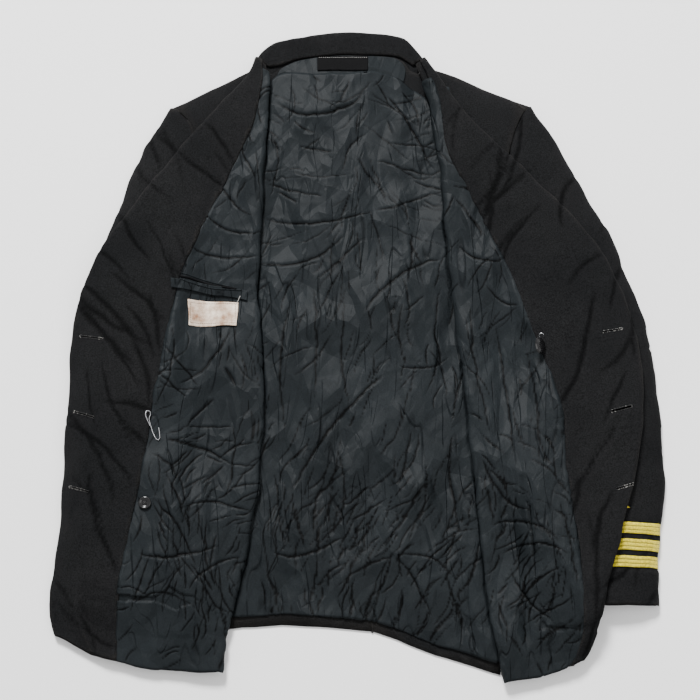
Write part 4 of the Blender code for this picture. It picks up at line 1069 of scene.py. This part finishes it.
# Cut of what shows of each sheet, in metres and square metres, how it is held and what it rests
# on. An area of None is width by length.
BACKS = ("back_cloth_left", "back_cloth_right")
LINING_BELOW = ("front_lining_cloth_right",)
SHEETS = [
    Sheet("back_cloth_left", 0.24, 0.77, 0.117, "laid", ()),
    Sheet("back_cloth_right", 0.25, 0.76, 0.117, "laid", ()),
    Sheet("side_cloth_left", 0.17, 0.45, 0.070, "folded", BACKS[:1]),
    Sheet("side_cloth_right", 0.16, 0.43, 0.065, "folded", BACKS[1:]),
    Sheet("front_cloth_left", 0.32, 0.77, 0.165, "folded", ("side_cloth_left", "sleeve_cloth_left")),
    Sheet("front_cloth_right", 0.34, 0.77, 0.190, "folded", ("side_cloth_right", "sleeve_cloth_right")),
    Sheet("facing_cloth_left", 0.22, 0.76, 0.074, "folded", ("front_cloth_left",)),
    Sheet("facing_cloth_right", 0.22, 0.76, 0.085, "folded", ("front_cloth_right",)),
    Sheet("front_lining_cloth_left", 0.18, 0.74, 0.074, "laid", ("front_cloth_left",)),
    Sheet("front_lining_cloth_right", 0.19, 0.74, 0.088, "laid", ("front_cloth_right",)),
    Sheet("back_lining_cloth", 0.37, 0.74, 0.200, "laid", BACKS),
    Sheet("back_neck_facing_cloth", 0.17, 0.04, 0.0036, "laid", BACKS),
    Sheet("collar_cloth", 0.24, 0.075, 0.0165, "folded", BACKS),
    Sheet("sleeve_cloth_left", 0.19, 0.63, 0.080, "laid", ("sleeve_under_cloth_left",)),
    Sheet("sleeve_cloth_right", 0.17, 0.62, 0.072, "laid", ("sleeve_under_cloth_right",)),
    Sheet("sleeve_under_cloth_left", 0.17, 0.60, 0.070, "laid", ()),
    Sheet("sleeve_under_cloth_right", 0.15, 0.60, 0.061, "laid", ()),
]
LACE_WIDTH = 0.0127
LACE_LENGTHS = {"left": (0.31, 0.315, 0.32), "right": (0.29, 0.285, 0.28)}
for side in ("left", "right"):
    for k, length in enumerate(LACE_LENGTHS[side]):
        SHEETS.append(Sheet("lace_%s_%d_woven" % (side, k + 1), LACE_WIDTH, length, None, "laid",
                            ("sleeve_cloth_" + side,)))
SHEETS += [
    Sheet("star_left_stitched", 0.024, 0.023, 0.00021, "laid", ("sleeve_cloth_left",)),
    Sheet("star_right_stitched", 0.024, 0.023, 0.00021, "laid", ("sleeve_cloth_right",)),
    Sheet("pocket_welt_cloth", 0.088, 0.013, None, "laid", LINING_BELOW),
    Sheet("neck_label_cloth", 0.065, 0.020, None, "laid", ("back_neck_facing_cloth",)),
    Sheet("pocket_label_cloth", 0.056, 0.032, None, "laid", LINING_BELOW),
]


def make_floor():
    """A plain pale surface."""
    mesh = bpy.data.meshes.new("floor")
    size = 6.0
    z = -0.0006
    mesh.from_pydata([(-size, -size, z), (size, -size, z), (size, size, z), (-size, size, z)], [],
                     [(0, 1, 2, 3)])
    floor = placed("floor", mesh)
    material, _, shader = new_material("floor_pale")
    shader.inputs["Base Color"].default_value = (0.95, 0.95, 0.95, 1)
    shader.inputs["Roughness"].default_value = 0.9
    mesh.materials.append(material)


def make_light(name, place, size, power):
    """A square soft light that looks at the part's middle."""
    data = bpy.data.lights.new(name, "AREA")
    data.shape = "SQUARE"
    data.size = size
    data.energy = power
    light = placed(name, data)
    light.location = place
    light.rotation_euler = (-Vector(place)).to_track_quat("-Z", "Y").to_euler()


def make_camera():
    """The photograph's view: 15 degrees from straight down, from the hem's side."""
    target = Vector((-0.0132, -0.0159, 0.0))
    tilt = math.radians(15)
    distance = 1.54
    data = bpy.data.cameras.new("camera")
    data.lens = 66
    data.sensor_width = 36
    camera = placed("camera", data)
    camera.location = target + Vector((0, -math.sin(tilt), math.cos(tilt))) * distance
    camera.rotation_euler = (tilt, 0, 0)
    bpy.context.scene.camera = camera


def make_world():
    """Even pale surroundings."""
    world = bpy.data.worlds.new("studio")
    world.use_nodes = True
    world.node_tree.nodes["Background"].inputs[0].default_value = (1, 1, 1, 1)
    world.node_tree.nodes["Background"].inputs[1].default_value = 0.8
    bpy.context.scene.world = world


make_floor()
make_world()
make_light("key", place=(-0.9, 3.0, 3.1), size=1.1, power=430)
make_light("fill", place=(1.2, -0.4, 1.8), size=1.4, power=12)
make_camera()
